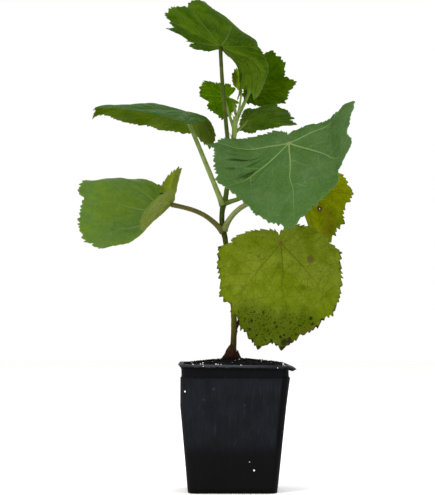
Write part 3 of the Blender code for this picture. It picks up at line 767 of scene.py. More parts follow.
def veinMasks(paint, looks, place, flat, edge):
    # Main veins narrow outwards, side veins leave them at an angle, and two nets fill the rest
    x, y, _ = paint.parts(flat)
    pitch = math.radians(looks["pitch"])
    turn = y.maths("ARCTAN2", x)
    away = (x * x + y * y).maths("SQRT")
    off = turn - (turn / pitch).maths("ROUND") * pitch
    along = away * off.maths("COSINE")
    leaning = away * off.maths("SINE")
    beside = leaning.maths("ABSOLUTE")

    far = looks["reach"]
    wide, loss, end = veinPaint["main"]
    width = (wide - loss * paint.fade(along, 0.0, end)) * looks["bold"]
    main = paint.fade(beside, width, width * 0.35) * paint.fade(along, 0.98 * far, 0.45 * far)
    spread = math.radians(looks["spread"])
    main = main * paint.fade(turn.maths("ABSOLUTE"), spread + 0.02, spread)

    slant = 1 / math.tan(math.radians(blade["forkAngle"]))
    run = ((along - beside * slant) / looks["fork"] + 0.25 * leaning.maths("SIGN")).maths("FRACT")
    gap = run.maths("MINIMUM", 1 - run) * looks["fork"]
    wide, full, end = veinPaint["side"]
    side = paint.fade(gap, wide, full) * paint.fade(beside, end, 0.02) * paint.fade(edge, 1.0, 0.8)
    side = side * paint.fade(paint.grain(place, 15.0, 1.0), 0.38, 0.62)

    often, far = veinPaint["sway"]
    sway = paint.node("ShaderNodeTexNoise", {}, {"Vector": flat, "Scale": often, "Detail": 2.0}, "Color")
    bent = paint.vector("ADD", flat, paint.vector("MULTIPLY", sway, (far, far, 0)))
    nets = []
    for cells, wide in veinPaint["nets"]:
        settings = {"feature": "DISTANCE_TO_EDGE", "voronoi_dimensions": "2D"}
        net = paint.node("ShaderNodeTexVoronoi", settings, {"Vector": bent, "Scale": cells})
        nets.append(paint.fade(net, wide, 0.0))
    fine, mesh = nets
    mesh = mesh * paint.fade(paint.grain(place, 11.0, 2.0), 0.3, 0.55) * paint.fade(away, 0.06, 0.25)

    # where painted shade falls in the creases from the seat
    often, slower = veinPaint["fan"]
    fan = paint.node("ShaderNodeCombineXYZ", values={0: turn, 1: away * slower, 2: 0.0})
    fan = paint.node("ShaderNodeTexNoise", {}, {"Vector": fan, "Scale": often, "Detail": 3.0})
    fan = paint.fade(fan, 0.5, 0.68) * paint.fade(away, 0.06, 0.25)
    return turn, away, main, side, fine, mesh, fan


def withMarks(paint, colour, place, flat, marks, mottle):
    # Spots and patches with ragged edges, and black specks in the dull ones
    fray = paint.grain(place, greenLumps["fray"], roughness=0.7)
    ragged = (mottle - 0.5) * 0.03 + (fray - 0.5) * 0.045
    for kind, (ink, strength, soft) in markLooks.items():
        if marks[kind]:
            mask = paint.fade(paint.spots(flat, marks[kind]) + ragged, soft, -0.006)
            colour = paint.mix(mask * strength, colour, tone(*ink))
            if kind == "dull":
                specks = paint.fade(paint.grain(place, greenLumps["specks"]), 0.57, 0.63)
                colour = paint.mix(mask * specks * 0.8, colour, tone(*agedTones["specks"]))
    return colour


def leafPaint(name, looks, side, marks):
    paint = Paint(name + "_" + side)
    place = paint.objectPlace()
    veins = paint.stored("veins")
    edge = paint.parts(veins)[2]
    flat = paint.vector("MULTIPLY", veins, (1, 1, 0))
    turn, away, mainVein, sideVein, fineVein, meshVein, fan = veinMasks(paint, looks, place, flat, edge)

    # two greens in broad patches, painted light and painted shade on parts of the under side, and two sizes
    # of mottling
    broad = paint.fade(paint.grain(place, greenLumps["broad"], 2.0), 0.35, 0.65)
    mottle = paint.grain(place, greenLumps["mottle"], 4.0, 0.65)
    blotch = paint.grain(place, greenLumps["blotch"], 3.0, 0.6)
    first, second = (tone(*green) for green in looks[side])
    colour = paint.mix(broad, first, second)
    # painted light and painted shade: a green laid over the under side within some angle of the way to the
    # tip
    for angle, wide, green, strength in looks["lit"] if side == "under" else ():
        reach = (turn - math.radians(angle)).maths("ABSOLUTE")
        near = paint.fade(reach, math.radians(wide), math.radians(0.5 * wide))
        colour = paint.mix(near * strength, colour, tone(*green))
    colour = paint.shaded(colour, mottle, 0.18, 0.82)
    colour = paint.shaded(colour, paint.fade(blotch, 0.3, 0.7), 0.26, 0.74, looks["patchy"])

    # painted shade darkens the creases, and more so in the places that are named
    dark = (0.30, 0.34, 0.22, 1)
    colour = paint.mix(fan * looks["crease"], colour, dark, "MULTIPLY")
    for angle, out, wide, strength in looks["creased"]:
        near = paint.vector("DISTANCE", flat, atAngle(angle, out), "Value")
        near = paint.fade(near, wide, 0.2 * wide)
        colour = paint.mix(near * fan * strength, colour, dark, "MULTIPLY")

    vein, show = tone(*looks["vein"]), looks["show"]
    net, mesh, aside = looks["net"] * show, looks["mesh"], looks["side"] * show
    for mask, strength in ((fineVein, net), (meshVein, mesh), (sideVein, aside), (mainVein, show)):
        colour = paint.mix(mask * strength, colour, vein)
    colour = paint.mix(paint.fade(away, 0.03, 0.012), colour, tone(*looks["rib"]))
    rim = paint.fade(edge + (mottle - 0.5) * 0.03, 0.978, 0.998)
    colour = paint.mix(rim * looks["rimShow"], colour, vein)

    colour = withMarks(paint, colour, place, flat, marks, mottle)
    if name in agedLeaves:
        dry = paint.fade(edge + (paint.grain(place, greenLumps["dry"]) - 0.5) * 0.16, 0.985, 1.02)
        dry = dry * paint.fade(turn.maths("ABSOLUTE"), 1.9, 1.3)
        colour = paint.mix(dry * 0.8, colour, tone(*agedTones["dry"]))

    height = fineVein * -0.25 + sideVein * -0.5 + paint.grain(place, 0.7) * 0.5
    if side == "under":
        height = fineVein * 0.35 + sideVein * 0.6 + mainVein + paint.grain(place, 0.5) * 0.6
    height = height - meshVein * looks["mesh"]
    normal = paint.bump(height, 0.5, 0.35)
    return paint.finish(colour=colour, roughness=0.50 + 0.16 * (mottle - 0.5), normal=normal, gloss=0.01)


print("growing leaves")
for number, leafName in enumerate(leaves):
    bladePiece(leafName, 11 + 7 * number)
    print("  leaf", leafName)


# Stem

stem = {
    "foot": 125.0,
    "top": 352.0,
    "way": (
        (125.0, 0.2), (150.0, 1.6), (176.0, 0.9), (203.0, -2.6), (236.0, -6.6),
        (250.0, -9.4), (262.0, -9.6), (279.0, -5.9), (317.0, -0.2), (352.0, 3.1),
    ),                              # height and sideways place of its middle
    "lowRadius": 2.9,
    "topRadius": 2.2,
    "flare": (2.2, 4.0, 0.14),      # girth, height and ribs of the root flare
    "cap": 1.9,
    "scars": ((150.0, -10), (178.0, 150), (206.0, 20), (226.0, 200)),   # height and way round
    "scarSize": (0.7, 2.0),
    "nodeSize": (0.55, 4.5),
    "relief": ((0.10, 0.7, 0.12), (0.10, 2.5, 1)),      # layers of roughness
    "grid": (64, 420),
    # its colours from the foot to the top
    "bark": (
        (0.0, (50, 32, 22)), (0.06, (74, 60, 22)), (0.16, (98, 98, 20)), (0.42, (96, 104, 20)),
        (0.52, (52, 62, 10)), (0.64, (62, 80, 12)), (0.76, (92, 120, 36)), (0.90, (138, 162, 76)),
        (1.0, (146, 168, 82)),
    ),
    "pores": (160, 150, 110),
    "worn": (96, 64, 44),
}


def stemPlace(heights):
    across = smoothThrough(stem["way"], heights)
    return np.stack([across, np.zeros(len(across)), np.array(heights, float)], axis=1)


def stemGirth(heights, angles):
    share = (heights - stem["foot"]) / (stem["top"] - stem["foot"])
    size, rise, rib = stem["flare"]
    fall = np.exp(-(heights - stem["foot"]) / rise)
    girth = stem["lowRadius"] + (stem["topRadius"] - stem["lowRadius"]) * share + size * fall
    return girth * (1 + rib * fall * np.cos(4 * angles + 0.6))


def stemPiece():
    def rule(u, v):
        angles = math.tau * u
        share = np.clip((v - 0.01) / 0.97, 0, 1)
        heights = stem["foot"] + (stem["top"] - stem["foot"]) * share
        girth = stemGirth(heights, angles)
        for stalk in stalks.values():
            way = math.atan2(stalk["leave"][1], stalk["leave"][0])
            size, width = stem["nodeSize"]
            girth += size * hump(heights, stalk["height"] + 1, width) * facing(angles, way) ** 2
        for height, way in stem["scars"]:
            size, width = stem["scarSize"]
            near = facing(angles, math.radians(way)) ** 3
            girth += size * near * (hump(heights, height, width) - 0.6 * hump(heights, height + 1.5, 0.9))
        skin = roundPlaces(angles, 3, heights)
        girth += layered(skin, stem["relief"], 3)
        closing = np.clip((v - 0.98) / 0.02, 0, 1) * math.pi / 2
        girth *= np.cos(closing) * easyStep(v, -0.012, 0.01)
        places = stemPlace(heights) + roundPlaces(angles, girth, stem["cap"] * np.sin(closing))
        return places, skin * mm

    closedPiece("stem_skin", stem["grid"], rule, "stem_bark", stemPaint(), "stem")


def stemPaint():
    paint = Paint("young_bark")
    place = paint.objectPlace()
    skin = paint.stored("skin")
    height = paint.parts(place)[2]
    streaks = paint.streaks(skin, 0.1, 0.9)
    patches = paint.grain(place, 7.0)
    level = (height + (patches - 0.5) * 0.02 - stem["foot"] * mm) / ((stem["top"] - stem["foot"]) * mm)
    colour = paint.ramp(level, stem["bark"])
    colour = paint.shaded(colour, streaks, 0.25, 0.78, 0.6)
    pores = paint.node("ShaderNodeTexVoronoi", {}, {"Vector": skin, "Scale": 420.0})
    colour = paint.mix(paint.fade(pores, 0.22, 0.1) * 0.35, colour, tone(*stem["pores"]))
    worn = paint.fade(patches, 0.62, 0.72) * paint.fade(level, 0.5, 0.2)
    colour = paint.mix(worn * 0.5, colour, tone(*stem["worn"]))
    normal = paint.bump(streaks + patches * 0.4, 0.6, 0.3)
    return paint.finish(colour=colour, roughness=0.5 + 0.2 * streaks, normal=normal, gloss=0.08)


# Leaf stalks, from inside the stem to their blades

stalks = {
    "top": dict(
        height=306.0, leave=(-3, -9, 28), arrive=(1, -4, -36), thick=2.1, thin=1.7,
        tones=((88, 104, 24), (66, 80, 12)),
    ),
    "upper_left": dict(
        height=268.0, leave=(-8, 0, 20), arrive=(10, -2, -24), thick=2.5, thin=1.9,
        tones=((158, 176, 104), (134, 156, 76)),
    ),
    "left": dict(
        height=243.0, leave=(-16, -4, 19), arrive=(20, 4, -4), thick=2.5, thin=2.1,
        tones=((106, 100, 44), (118, 116, 52)),
    ),
    "front": dict(
        height=271.0, leave=(22, 3, 5), arrive=(-6, 14, -34), thick=2.0, thin=1.8,
        tones=((116, 138, 60), (92, 118, 40)),
    ),
    "low_front": dict(
        height=244.0, leave=(16, -10, 46), arrive=(26, 38, 46), thick=2.6, thin=2.0,
        tones=((158, 168, 104), (138, 146, 78)), solids=("petiole_low_front", "petiole_low_front_end"),
    ),
    "right_back": dict(
        height=292.0, leave=(18, 8, 18), arrive=(-22, 2, 22), thick=1.9, thin=1.6,
        tones=((120, 140, 60), (100, 122, 44)),
    ),
    "crown_left": dict(
        height=342.0, leave=(-4, 5, 8), arrive=(2, -3, -9), thick=1.5, thin=1.0,
        tones=((128, 154, 66), (108, 138, 48)),
    ),
    "crown_right": dict(
        height=348.5, leave=(4, 11, 9), arrive=(-4, -10, -11), thick=1.9, thin=1.5,
        tones=((140, 166, 80), (122, 152, 62)),
    ),
    "crown_low": dict(
        height=337.0, leave=(4, 3, 5), arrive=(-3, -4, -7), thick=1.3, thin=1.0,
        tones=((126, 148, 66), (120, 116, 60)),
    ),
    "crown_young": dict(
        height=349.0, leave=(4, -4, 9), arrive=(-1, -3, -9), thick=1.1, thin=0.8,
        tones=((150, 170, 90), (130, 150, 70)),
    ),
}
stalkShape = {
    "clearance": 0.3,       # between a stalk's end and its blade
    "grid": (40, 110),
    "foot": (0.45, 5.0),    # how much thicker it is where it leaves the stem, and how far out
    "neck": (0.22, 5.0),    # the same at the blade
    "sink": 0.9,            # how far its end reaches into the blade
    "relief": ((0.05, 0.6, 0.08), (0.05, 4.0, 1)),
    "footTone": (70, 78, 26),
}


def readAlong(at, places, rows):
    # Rows of three numbers that are known at some places, read at others
    return np.stack([np.interp(at, places, column) for column in rows.T], axis=1)


def tube(u, v, line, girth):
    # Points round a line, girth from it, with a frame that doesn't twist
    ahead = np.gradient(line, axis=0)
    ahead /= np.linalg.norm(ahead, axis=1)[:, None]
    sides = np.zeros_like(line)
    side = np.array((0.0, 1.0, 0.0))
    for step, way in enumerate(ahead):
        side = side - way * (side @ way)
        side /= np.linalg.norm(side)
        sides[step] = side
    at = np.linspace(0, 1, len(line))
    centre, side, other = (readAlong(v, at, rows) for rows in (line, sides, np.cross(ahead, sides)))
    angles = math.tau * u
    return centre + (side * np.cos(angles)[:, None] + other * np.sin(angles)[:, None]) * girth[:, None]


def stalkLine(name, count=400):
    # A Bezier curve from the stem to just under the blade's seat, and on into the blade
    leaf, stalk = leaves[name], stalks[name]
    drop = blade["young" if name.startswith("crown") else "old"]["seatDrop"] / 2
    start = stemPlace([stalk["height"]])[0]
    end = np.array(leaf["seat"]) - seatNormal(leaf) * (drop + stalkShape["clearance"] + stalk["thin"])
    leave = start + np.array(stalk["leave"])
    arrive = end + np.array(stalk["arrive"])
    t = np.linspace(0, 1, count)[:, None]
    line = start * (1 - t) ** 3 + leave * 3 * t * (1 - t) ** 2 + arrive * 3 * t**2 * (1 - t) + end * t**3
    ahead = (line[-1] - line[-2]) / np.linalg.norm(line[-1] - line[-2])
    tail = stalk["thin"] + stalkShape["sink"]
    steps = np.linspace(0, tail, 12)[1:, None]
    return np.vstack([line, line[-1] + ahead * steps]), tail


def stalkPiece(name, seed):
    stalk = stalks[name]
    line, tail = stalkLine(name)
    run = np.concatenate([[0], np.cumsum(np.linalg.norm(np.diff(line, axis=0), axis=1))])
    even = readAlong(np.linspace(0, run[-1], 300), run, line)

    def rule(u, v):
        far = v * run[-1]
        girth = stalk["thick"] + (stalk["thin"] - stalk["thick"]) * v
        size, width = stalkShape["foot"]
        girth = girth * (1 + size * np.exp(-np.maximum(far - 2, 0) / width))
        size, width = stalkShape["neck"]
        girth = girth * (1 + size * np.exp(-(run[-1] - far) / width))
        skin = roundPlaces(math.tau * u, 2, far)
        girth += layered(skin, stalkShape["relief"], seed)
        closing = np.clip(1 - (run[-1] - far) / tail, 0, 1)
        girth = girth * np.sqrt(1 - closing**2) * np.minimum(far / 0.6, 1)
        return tube(u, v, even, girth), skin * mm

    solids = stalk.get("solids", ("petiole_" + name,))
    closedPiece("stalk_" + name, stalkShape["grid"], rule, "petiole", stalkPaint(name), *solids)


def stalkPaint(name):
    paint = Paint("stalk_" + name)
    place = paint.objectPlace()
    skin = paint.stored("skin")
    streaks = paint.streaks(skin, 0.06, 0.8)
    patches = paint.grain(place, 8.0)
    first, second = (tone(*tint) for tint in stalks[name]["tones"])
    colour = paint.mix(paint.fade(patches, 0.35, 0.65), first, second)
    colour = paint.shaded(colour, streaks, 0.28, 0.74)
    foot = paint.fade(paint.parts(skin)[2], 9 * mm, 1 * mm)
    colour = paint.mix(foot * 0.45, colour, tone(*stalkShape["footTone"]))
    normal = paint.bump(streaks + patches * 0.3, 0.5, 0.25)
    return paint.finish(colour=colour, roughness=0.45 + 0.15 * streaks, normal=normal, gloss=0.12)


print("raising stem and stalks")
stemPiece()
for number, leafName in enumerate(stalks):
    stalkPiece(leafName, 40 + 3 * number)


# Dry sheath round the stem's foot, dry bud, growing tip and the small scales beside it

sheath = {
    "low": -0.9,
    "least": 2.4,
    "tall": (10.4, 228, 0.9),     # height, way round and how narrow
    "spike": (5.0, -12, 14),
    "foot": 2.9,                  # thickness there
    "lean": 1.3,                  # how much thicker on the tall side
    "top": 1.0,
    "bulge": 2.8,                 # how late it thins on the way up
    "clearance": 0.3,
    "soiled": 0.85,               # how dark its foot is
    "ripe": 0.5,                  # how olive its upper part is
    "fray": (0.16, 0.16),         # how uneven its rim is, and in what lumps
    "relief": ((0.35, 0.5, 1), (0.3, 1.6, 1)),
    "grid": (160, 50),
    "turns": (0.46, 0.54, 0.96),  # where on the grid the rim, the inner face and the bottom begin
}
dryTones = {
    "fibres": ((0.3, (30, 17, 13)), (0.55, (62, 34, 24)), (0.75, (100, 62, 42))),
    "patches": (58, 40, 30),
    "ripe": (78, 62, 28),
    "soiled": (24, 19, 16),
}
bud = {
    "foot": (3.2, -0.3, 149.6), "way": (4.1, -0.6, 15.0), "radius": 1.6, "scales": 3, "step": 0.28,
    "grid": (40, 50),
}
shoot = {
    "way": (-2.5, -1.0, 13.0), "bow": (0.5, -0.4, 0), "radius": 1.3, "pleats": 5, "pleatDepth": 0.16,
    "green": (138, 158, 76), "grid": (60, 60),
}
scale = {
    "length": 7.5, "radius": 0.55, "lean": 0.55, "green": (176, 186, 140), "grid": (16, 24),
    "feet": ((340.0, 20), (343.0, 160), (346.0, -60), (349.5, 80), (350.0, -130), (332.0, 200)),
}


def sheathPiece():
    def rule(u, v):
        angles = math.tau * u
        height, way, narrow = sheath["tall"]
        rise = sheath["least"] + height * np.maximum(np.cos(angles - math.radians(way)), 0) ** narrow
        height, way, narrow = sheath["spike"]
        rise += height * np.maximum(np.cos(angles - math.radians(way)), 0) ** narrow
        uneven, lump = sheath["fray"]
        rise *= 1 + uneven * softNoise(roundPlaces(angles, 1, 0 * u), lump, 8)
        # v runs up the outer face, over the rim and down the inner face, and back underneath
        rim, inside, bottom = sheath["turns"]
        share = np.clip((bottom - v) / (bottom - inside), 0, 1)
        share = np.where(v < rim, v / rim, np.where(v < inside, 1.0, share))
        outer = np.where(v < rim, 1.0, np.where(v < inside, (inside - v) / (inside - rim), 0.0))
        outer = np.where(v > bottom, (v - bottom) / (1 - bottom), outer)
        heights = stem["foot"] + sheath["low"] + rise * share
        foot = sheath["foot"] + sheath["lean"] * np.cos(angles - math.radians(sheath["tall"][1]))
        thick = foot + (sheath["top"] - foot) * share ** sheath["bulge"]
        girth = stemGirth(heights, angles * 0 - 0.15) + sheath["clearance"] + thick * outer
        skin = roundPlaces(angles, 4, heights * 0.25)
        girth += outer * layered(skin, sheath["relief"], 12)
        return stemPlace(heights) + roundPlaces(angles, girth, 0 * heights), skin * mm

    paint = dryPaint("dry_sheath", sheath["soiled"], sheath["ripe"])
    closedPiece("foot_sheath", sheath["grid"], rule, "dry_sheath", paint, "base_sheath")


def dryPaint(name, soiled=0.0, ripe=0.0):
    paint = Paint(name)
    place = paint.objectPlace()
    fibres = paint.streaks(place, 0.15, 0.5, roughness=0.65)
    patches = paint.grain(place, 3.0)
    colour = paint.ramp(fibres, dryTones["fibres"])
    colour = paint.mix(paint.fade(patches, 0.55, 0.7) * 0.5, colour, tone(*dryTones["patches"]))
    height = paint.parts(place)[2] + (patches - 0.5) * 0.006 - stem["foot"] * mm
    colour = paint.mix(paint.fade(height, 4.5 * mm, 8.5 * mm) * ripe, colour, tone(*dryTones["ripe"]))
    colour = paint.mix(paint.fade(height, 3.2 * mm, 0.2 * mm) * soiled, colour, tone(*dryTones["soiled"]))
    normal = paint.bump(fibres, 0.8, 0.5)
    return paint.finish(colour=colour, roughness=0.75 + 0.15 * fibres, normal=normal, gloss=0.03)


def spindle(radius, v):
    # Girth of a tip that is thickest below its middle
    return radius * np.maximum(np.sin(math.pi * v**0.7), 0) ** 0.8


def budPiece():
    line = np.array(bud["foot"]) + np.linspace(0, 1, 60)[:, None] * np.array(bud["way"])

    def rule(u, v):
        girth = spindle(bud["radius"], v)
        steps = v * bud["scales"] + 0.5 * np.cos(math.tau * u)
        girth *= 1 - bud["step"] * (steps - np.floor(steps))
        return tube(u, v, line, girth), None

    closedPiece("dry_bud", bud["grid"], rule, "dry_sheath", dryPaint("dry_bud"), "stem_bud")


def shootPiece():
    foot = stemPlace([stem["top"]])[0] + (0, 0, stem["cap"] + 0.1)
    share = np.linspace(0, 1, 60)[:, None]
    line = foot + share * shoot["way"] + np.sin(math.pi * share) * shoot["bow"]

    def rule(u, v):
        girth = spindle(shoot["radius"], v)
        girth *= 1 + shoot["pleatDepth"] * np.cos(math.tau * shoot["pleats"] * u + 3 * v)
        return tube(u, v, line, girth), None

    paint = palePaint("shoot_green", shoot["green"])
    closedPiece("shoot_bud", shoot["grid"], rule, "young_leaf", paint, "shoot_tip")


def palePaint(name, green):
    paint = Paint(name)
    place = paint.objectPlace()
    fibres = paint.streaks(place, 0.2, 0.8)
    patches = paint.fade(paint.grain(place, 4.0), 0.4, 0.65)
    darker = tuple(0.75 * value for value in green)
    colour = paint.mix(patches, tone(*green), tone(*darker))
    colour = paint.shaded(colour, fibres, 0.25, 0.78)
    normal = paint.bump(fibres, 0.5, 0.25)
    return paint.finish(colour=colour, roughness=0.55 + 0.1 * fibres, normal=normal, gloss=0.1)


def scalesPiece():
    # Pale pointed scales at the feet of the youngest stalks
    bpy.ops.object.select_all(action="DESELECT")
    parts = []
    for number, (height, way) in enumerate(scale["feet"]):
        out = atAngle(way)
        foot = stemPlace([height])[0] + out * stem["topRadius"] * 0.8
        share = np.linspace(0, 1, 40)[:, None]
        size = scale["length"] * (0.8 + 0.1 * number % 0.4)
        line = foot + size * (out * scale["lean"] * share**1.6 + np.array((0, 0, 1)) * share)

        def rule(u, v):
            thin = scale["radius"] * (1 - v) ** 0.8 * np.minimum(v / 0.04, 1)
            flat = 1 + 0.8 * np.abs(np.cos(math.tau * u))
            return tube(u, v, line, thin * flat), None

        parts.append(gridPiece("scale", *scale["grid"], rule))
    for part in parts:
        part.select_set(True)
    bpy.ops.object.join()
    piece = bpy.context.object
    piece.name = piece.data.name = "crown_scales"
    faceOutwards()
    ready(piece, "young_leaf", [palePaint("scale_green", scale["green"])])


print("dressing the foot and the tip")
sheathPiece()
budPiece()
shootPiece()
scalesPiece()


# Pot

pot = {
    "baseHalf": 41.7,
    "middle": (81.0, 49.5, 0.6),        # height, half width, sideways shift
    "shoulder": (107.0, 50.9, 2.4),
    "collarHalf": 49.8,
    "shoulderStep": 1.0,
    "lipBottom": 115.3,
    "lipTop": 119.0,
    "lipHalf": 54.9,
    "lipShift": 4.4,
    "lipFlare": 3.0,                    # how much wider it is at its top
    "lipEdge": 0.6,
    "edge": 0.8,
    "corner": 9.0,
    "wall": 1.4,
    "floor": 2.0,
    "drain": (4.5, 25.0),               # radius of a hole and how far out it lies
    "ribs": 50,                         # fine upright ribs on each side
    "ribDepth": 0.16,
    "droop": (0.8, 3.0),                # how far the lip sinks to the right, and more at its corner
    "share": 0.84,                      # of a side's points that lie on its straight part
    # faint scuffs on the front wall: sideways place, height and radius
    "scuffs": ((-17.5, 97, 1.2), (-27, 87, 1.0), (11, 82, 0.9), (-32, 13, 1.0)),
    "bulge": (0.25, 26.0),              # how far the walls are out of true, and in what lumps
}
# Colours of the black plastic: among them dust with a painted sheen, a painted shade, and a pale tone of dust
# and painted highlight for the lip's edge
potTones = {
    "clean": (13, 13, 13), "dustAndSheen": (32, 33, 39), "rubbed": (52, 54, 62), "specks": (66, 68, 74),
    "shaded": (7, 7, 8), "scuffed": (84, 88, 96), "worn": (80, 84, 92),
}
# From where to where a shade of the pot sets in, in millimetres: heights, or distances out
potRanges = {
    # heights over which the dust and painted sheen rise
    "dustAndSheen": (34, 52),
    # painted shade at the right and left corners, the collar and the foot
    "right": (34.2, 37.2),
    "left": (38.5, 41.0),
    "collar": (104.6, 108.4),
    "foot": (4.6, 3.6),
    "scuff": (0.8, -1.0),
    # the lip's pale edge of dust and painted highlight, and how it fades away from the middle
    "worn": (116.2, 117.6),
    "middle": (52, 12),
}


def squarePlace(u, half, corner):
    # Round a square with round corners, the front side first and the corners after each side
    quarter = np.floor(u * 4) % 4
    part = u * 4 - np.floor(u * 4)
    run = half - corner
    straight = np.clip(part / pot["share"], 0, 1)
    bend = np.clip((part - pot["share"]) / (1 - pot["share"]), 0, 1) * math.pi / 2
    x = -run + 2 * run * straight + corner * np.sin(bend)
    y = -run - corner * np.cos(bend)
    turn = quarter * math.pi / 2
    return x * np.cos(turn) - y * np.sin(turn), x * np.sin(turn) + y * np.cos(turn)


def lipDroop(x, z):
    tilt, fall = pot["droop"]
    raised = easyStep(z, pot["shoulder"][0], pot["lipBottom"])
    return raised * (tilt * x / pot["lipHalf"] + fall * easyStep(x, 50, 60))


def innerHalf(heights):
    # Half width and shift of the inner wall
    stations = [
        (0.0, pot["baseHalf"], 0.0), pot["middle"], pot["shoulder"],
        (pot["lipTop"], pot["collarHalf"], pot["lipShift"] / 2),
    ]
    places, halves, shifts = zip(*stations)
    return np.interp(heights, places, halves) - pot["wall"], np.interp(heights, places, shifts)


def potPiece():
    corner = pot["corner"]
    shoulder, collar = pot["shoulder"], pot["collarHalf"]
    low, high, half, shift = pot["lipBottom"], pot["lipTop"], pot["lipHalf"], pot["lipShift"]
    edge, bevel, flare = pot["edge"], pot["lipEdge"], pot["lipFlare"]
    # height, half width, corner, shift and whether the wall is ribbed there
    stations = [
        (0.0, pot["baseHalf"] - edge, corner, 0.0, 0),
        (0.25 * edge, pot["baseHalf"] - 0.3 * edge, corner, 0.0, 0),
        (edge, pot["baseHalf"], corner, 0.0, 0),
        (3.5, pot["baseHalf"] + 0.3, corner, 0.0, 0),
        (4.2, pot["baseHalf"] + 0.35, corner, 0.0, 1),
        (pot["middle"][0], pot["middle"][1], corner + 2, pot["middle"][2], 1),
        (shoulder[0] - 0.6, shoulder[1], corner + 3, shoulder[2], 1),
        (shoulder[0], shoulder[1], corner + 3, shoulder[2], 0),
        (shoulder[0] + pot["shoulderStep"], collar, corner + 2, shoulder[2], 0),
        (low - 0.7, collar, corner + 2, shift / 2, 0),
        (low - 0.1, collar + 0.5, corner + 2, shift / 2, 0),
        (low, half - flare - 0.8, corner + 4, shift * 0.85, 0),
        (low + 0.3, half - flare, corner + 4, shift * 0.85, 0),
        (low + bevel, half - 0.9 * flare, corner + 4, shift * 0.87, 0),
        (high - 0.5 * bevel, half, corner + 4, shift, 0),
        (high - 0.1, half - 0.1, corner + 4, shift, 0),
        (high, half - 0.6 * bevel, corner + 4, shift, 0),
    ]
    for height in (high, high - 0.4, shoulder[0], pot["middle"][0], pot["floor"]):
        inner, aside = innerHalf(height)
        inner = inner + (0.4 if height == high else 0.0)
        stations.append((height, float(inner), corner + 1, float(aside), 0))
    rows = []
    for first, last in zip(stations, stations[1:]):
        steps = max(1, min(10, round(abs(last[0] - first[0]) / 4)))
        for step in range(steps):
            rows.append(tuple(a + (b - a) * step / steps for a, b in zip(first, last)))
    rows.append(stations[-1])
    table = np.array(rows)
    lastRow = len(rows) - 1

    def rule(u, v):
        spot = np.round(v * lastRow).astype(int)
        heights, halves, corners, shifts, ribbed = table[spot].T
        part = (u * 4) % 1 / pot["share"]
        rib = np.where(part < 1, np.cos(math.tau * pot["ribs"] * part), 1.0) * 0.5 - 0.5
        halves = halves + rib * pot["ribDepth"] * np.floor(ribbed)
        x, y = squarePlace(u, halves, corners)
        places = np.stack([x + shifts, y, heights], axis=1)
        far, lump = pot["bulge"]
        bulge = far * softNoise(places * (1, 1, 0.4), lump, 21) * easyStep(heights, 5, 25)
        places[:, 1] += bulge * np.sign(y) * (np.abs(y) > halves - 3)
        places[:, 0] += bulge * np.sign(x) * (np.abs(x) > halves - 3)
        places[:, 2] -= lipDroop(places[:, 0], heights)
        return places, None

    columns = 4 * round(4 * pot["ribs"] / pot["share"])
    piece = gridPiece("pot_shell", columns, lastRow, rule)
    inEditMode(bpy.ops.mesh.fill_holes, sides=0)
    faceOutwards()
    radius, reach = pot["drain"]
    for x in (-reach, reach):
        for y in (-reach, reach):
            drillHole(piece, (x, y, pot["floor"] / 2), radius)
    bpy.ops.object.shade_smooth_by_angle(angle=math.radians(35))
    ready(piece, "pot_plastic", [potPaint()], "pot")


def drillHole(piece, place, radius):
    bpy.ops.object.select_all(action="DESELECT")
    middle = [value * mm for value in place]
    depth = 4 * pot["floor"] * mm
    bpy.ops.mesh.primitive_cylinder_add(vertices=40, radius=radius * mm, depth=depth, location=middle)
    drill = bpy.context.object
    bpy.context.view_layer.objects.active = piece
    applied(piece, "BOOLEAN", operation="DIFFERENCE", solver="EXACT", object=drill)
    bpy.data.objects.remove(drill)
    piece.select_set(True)


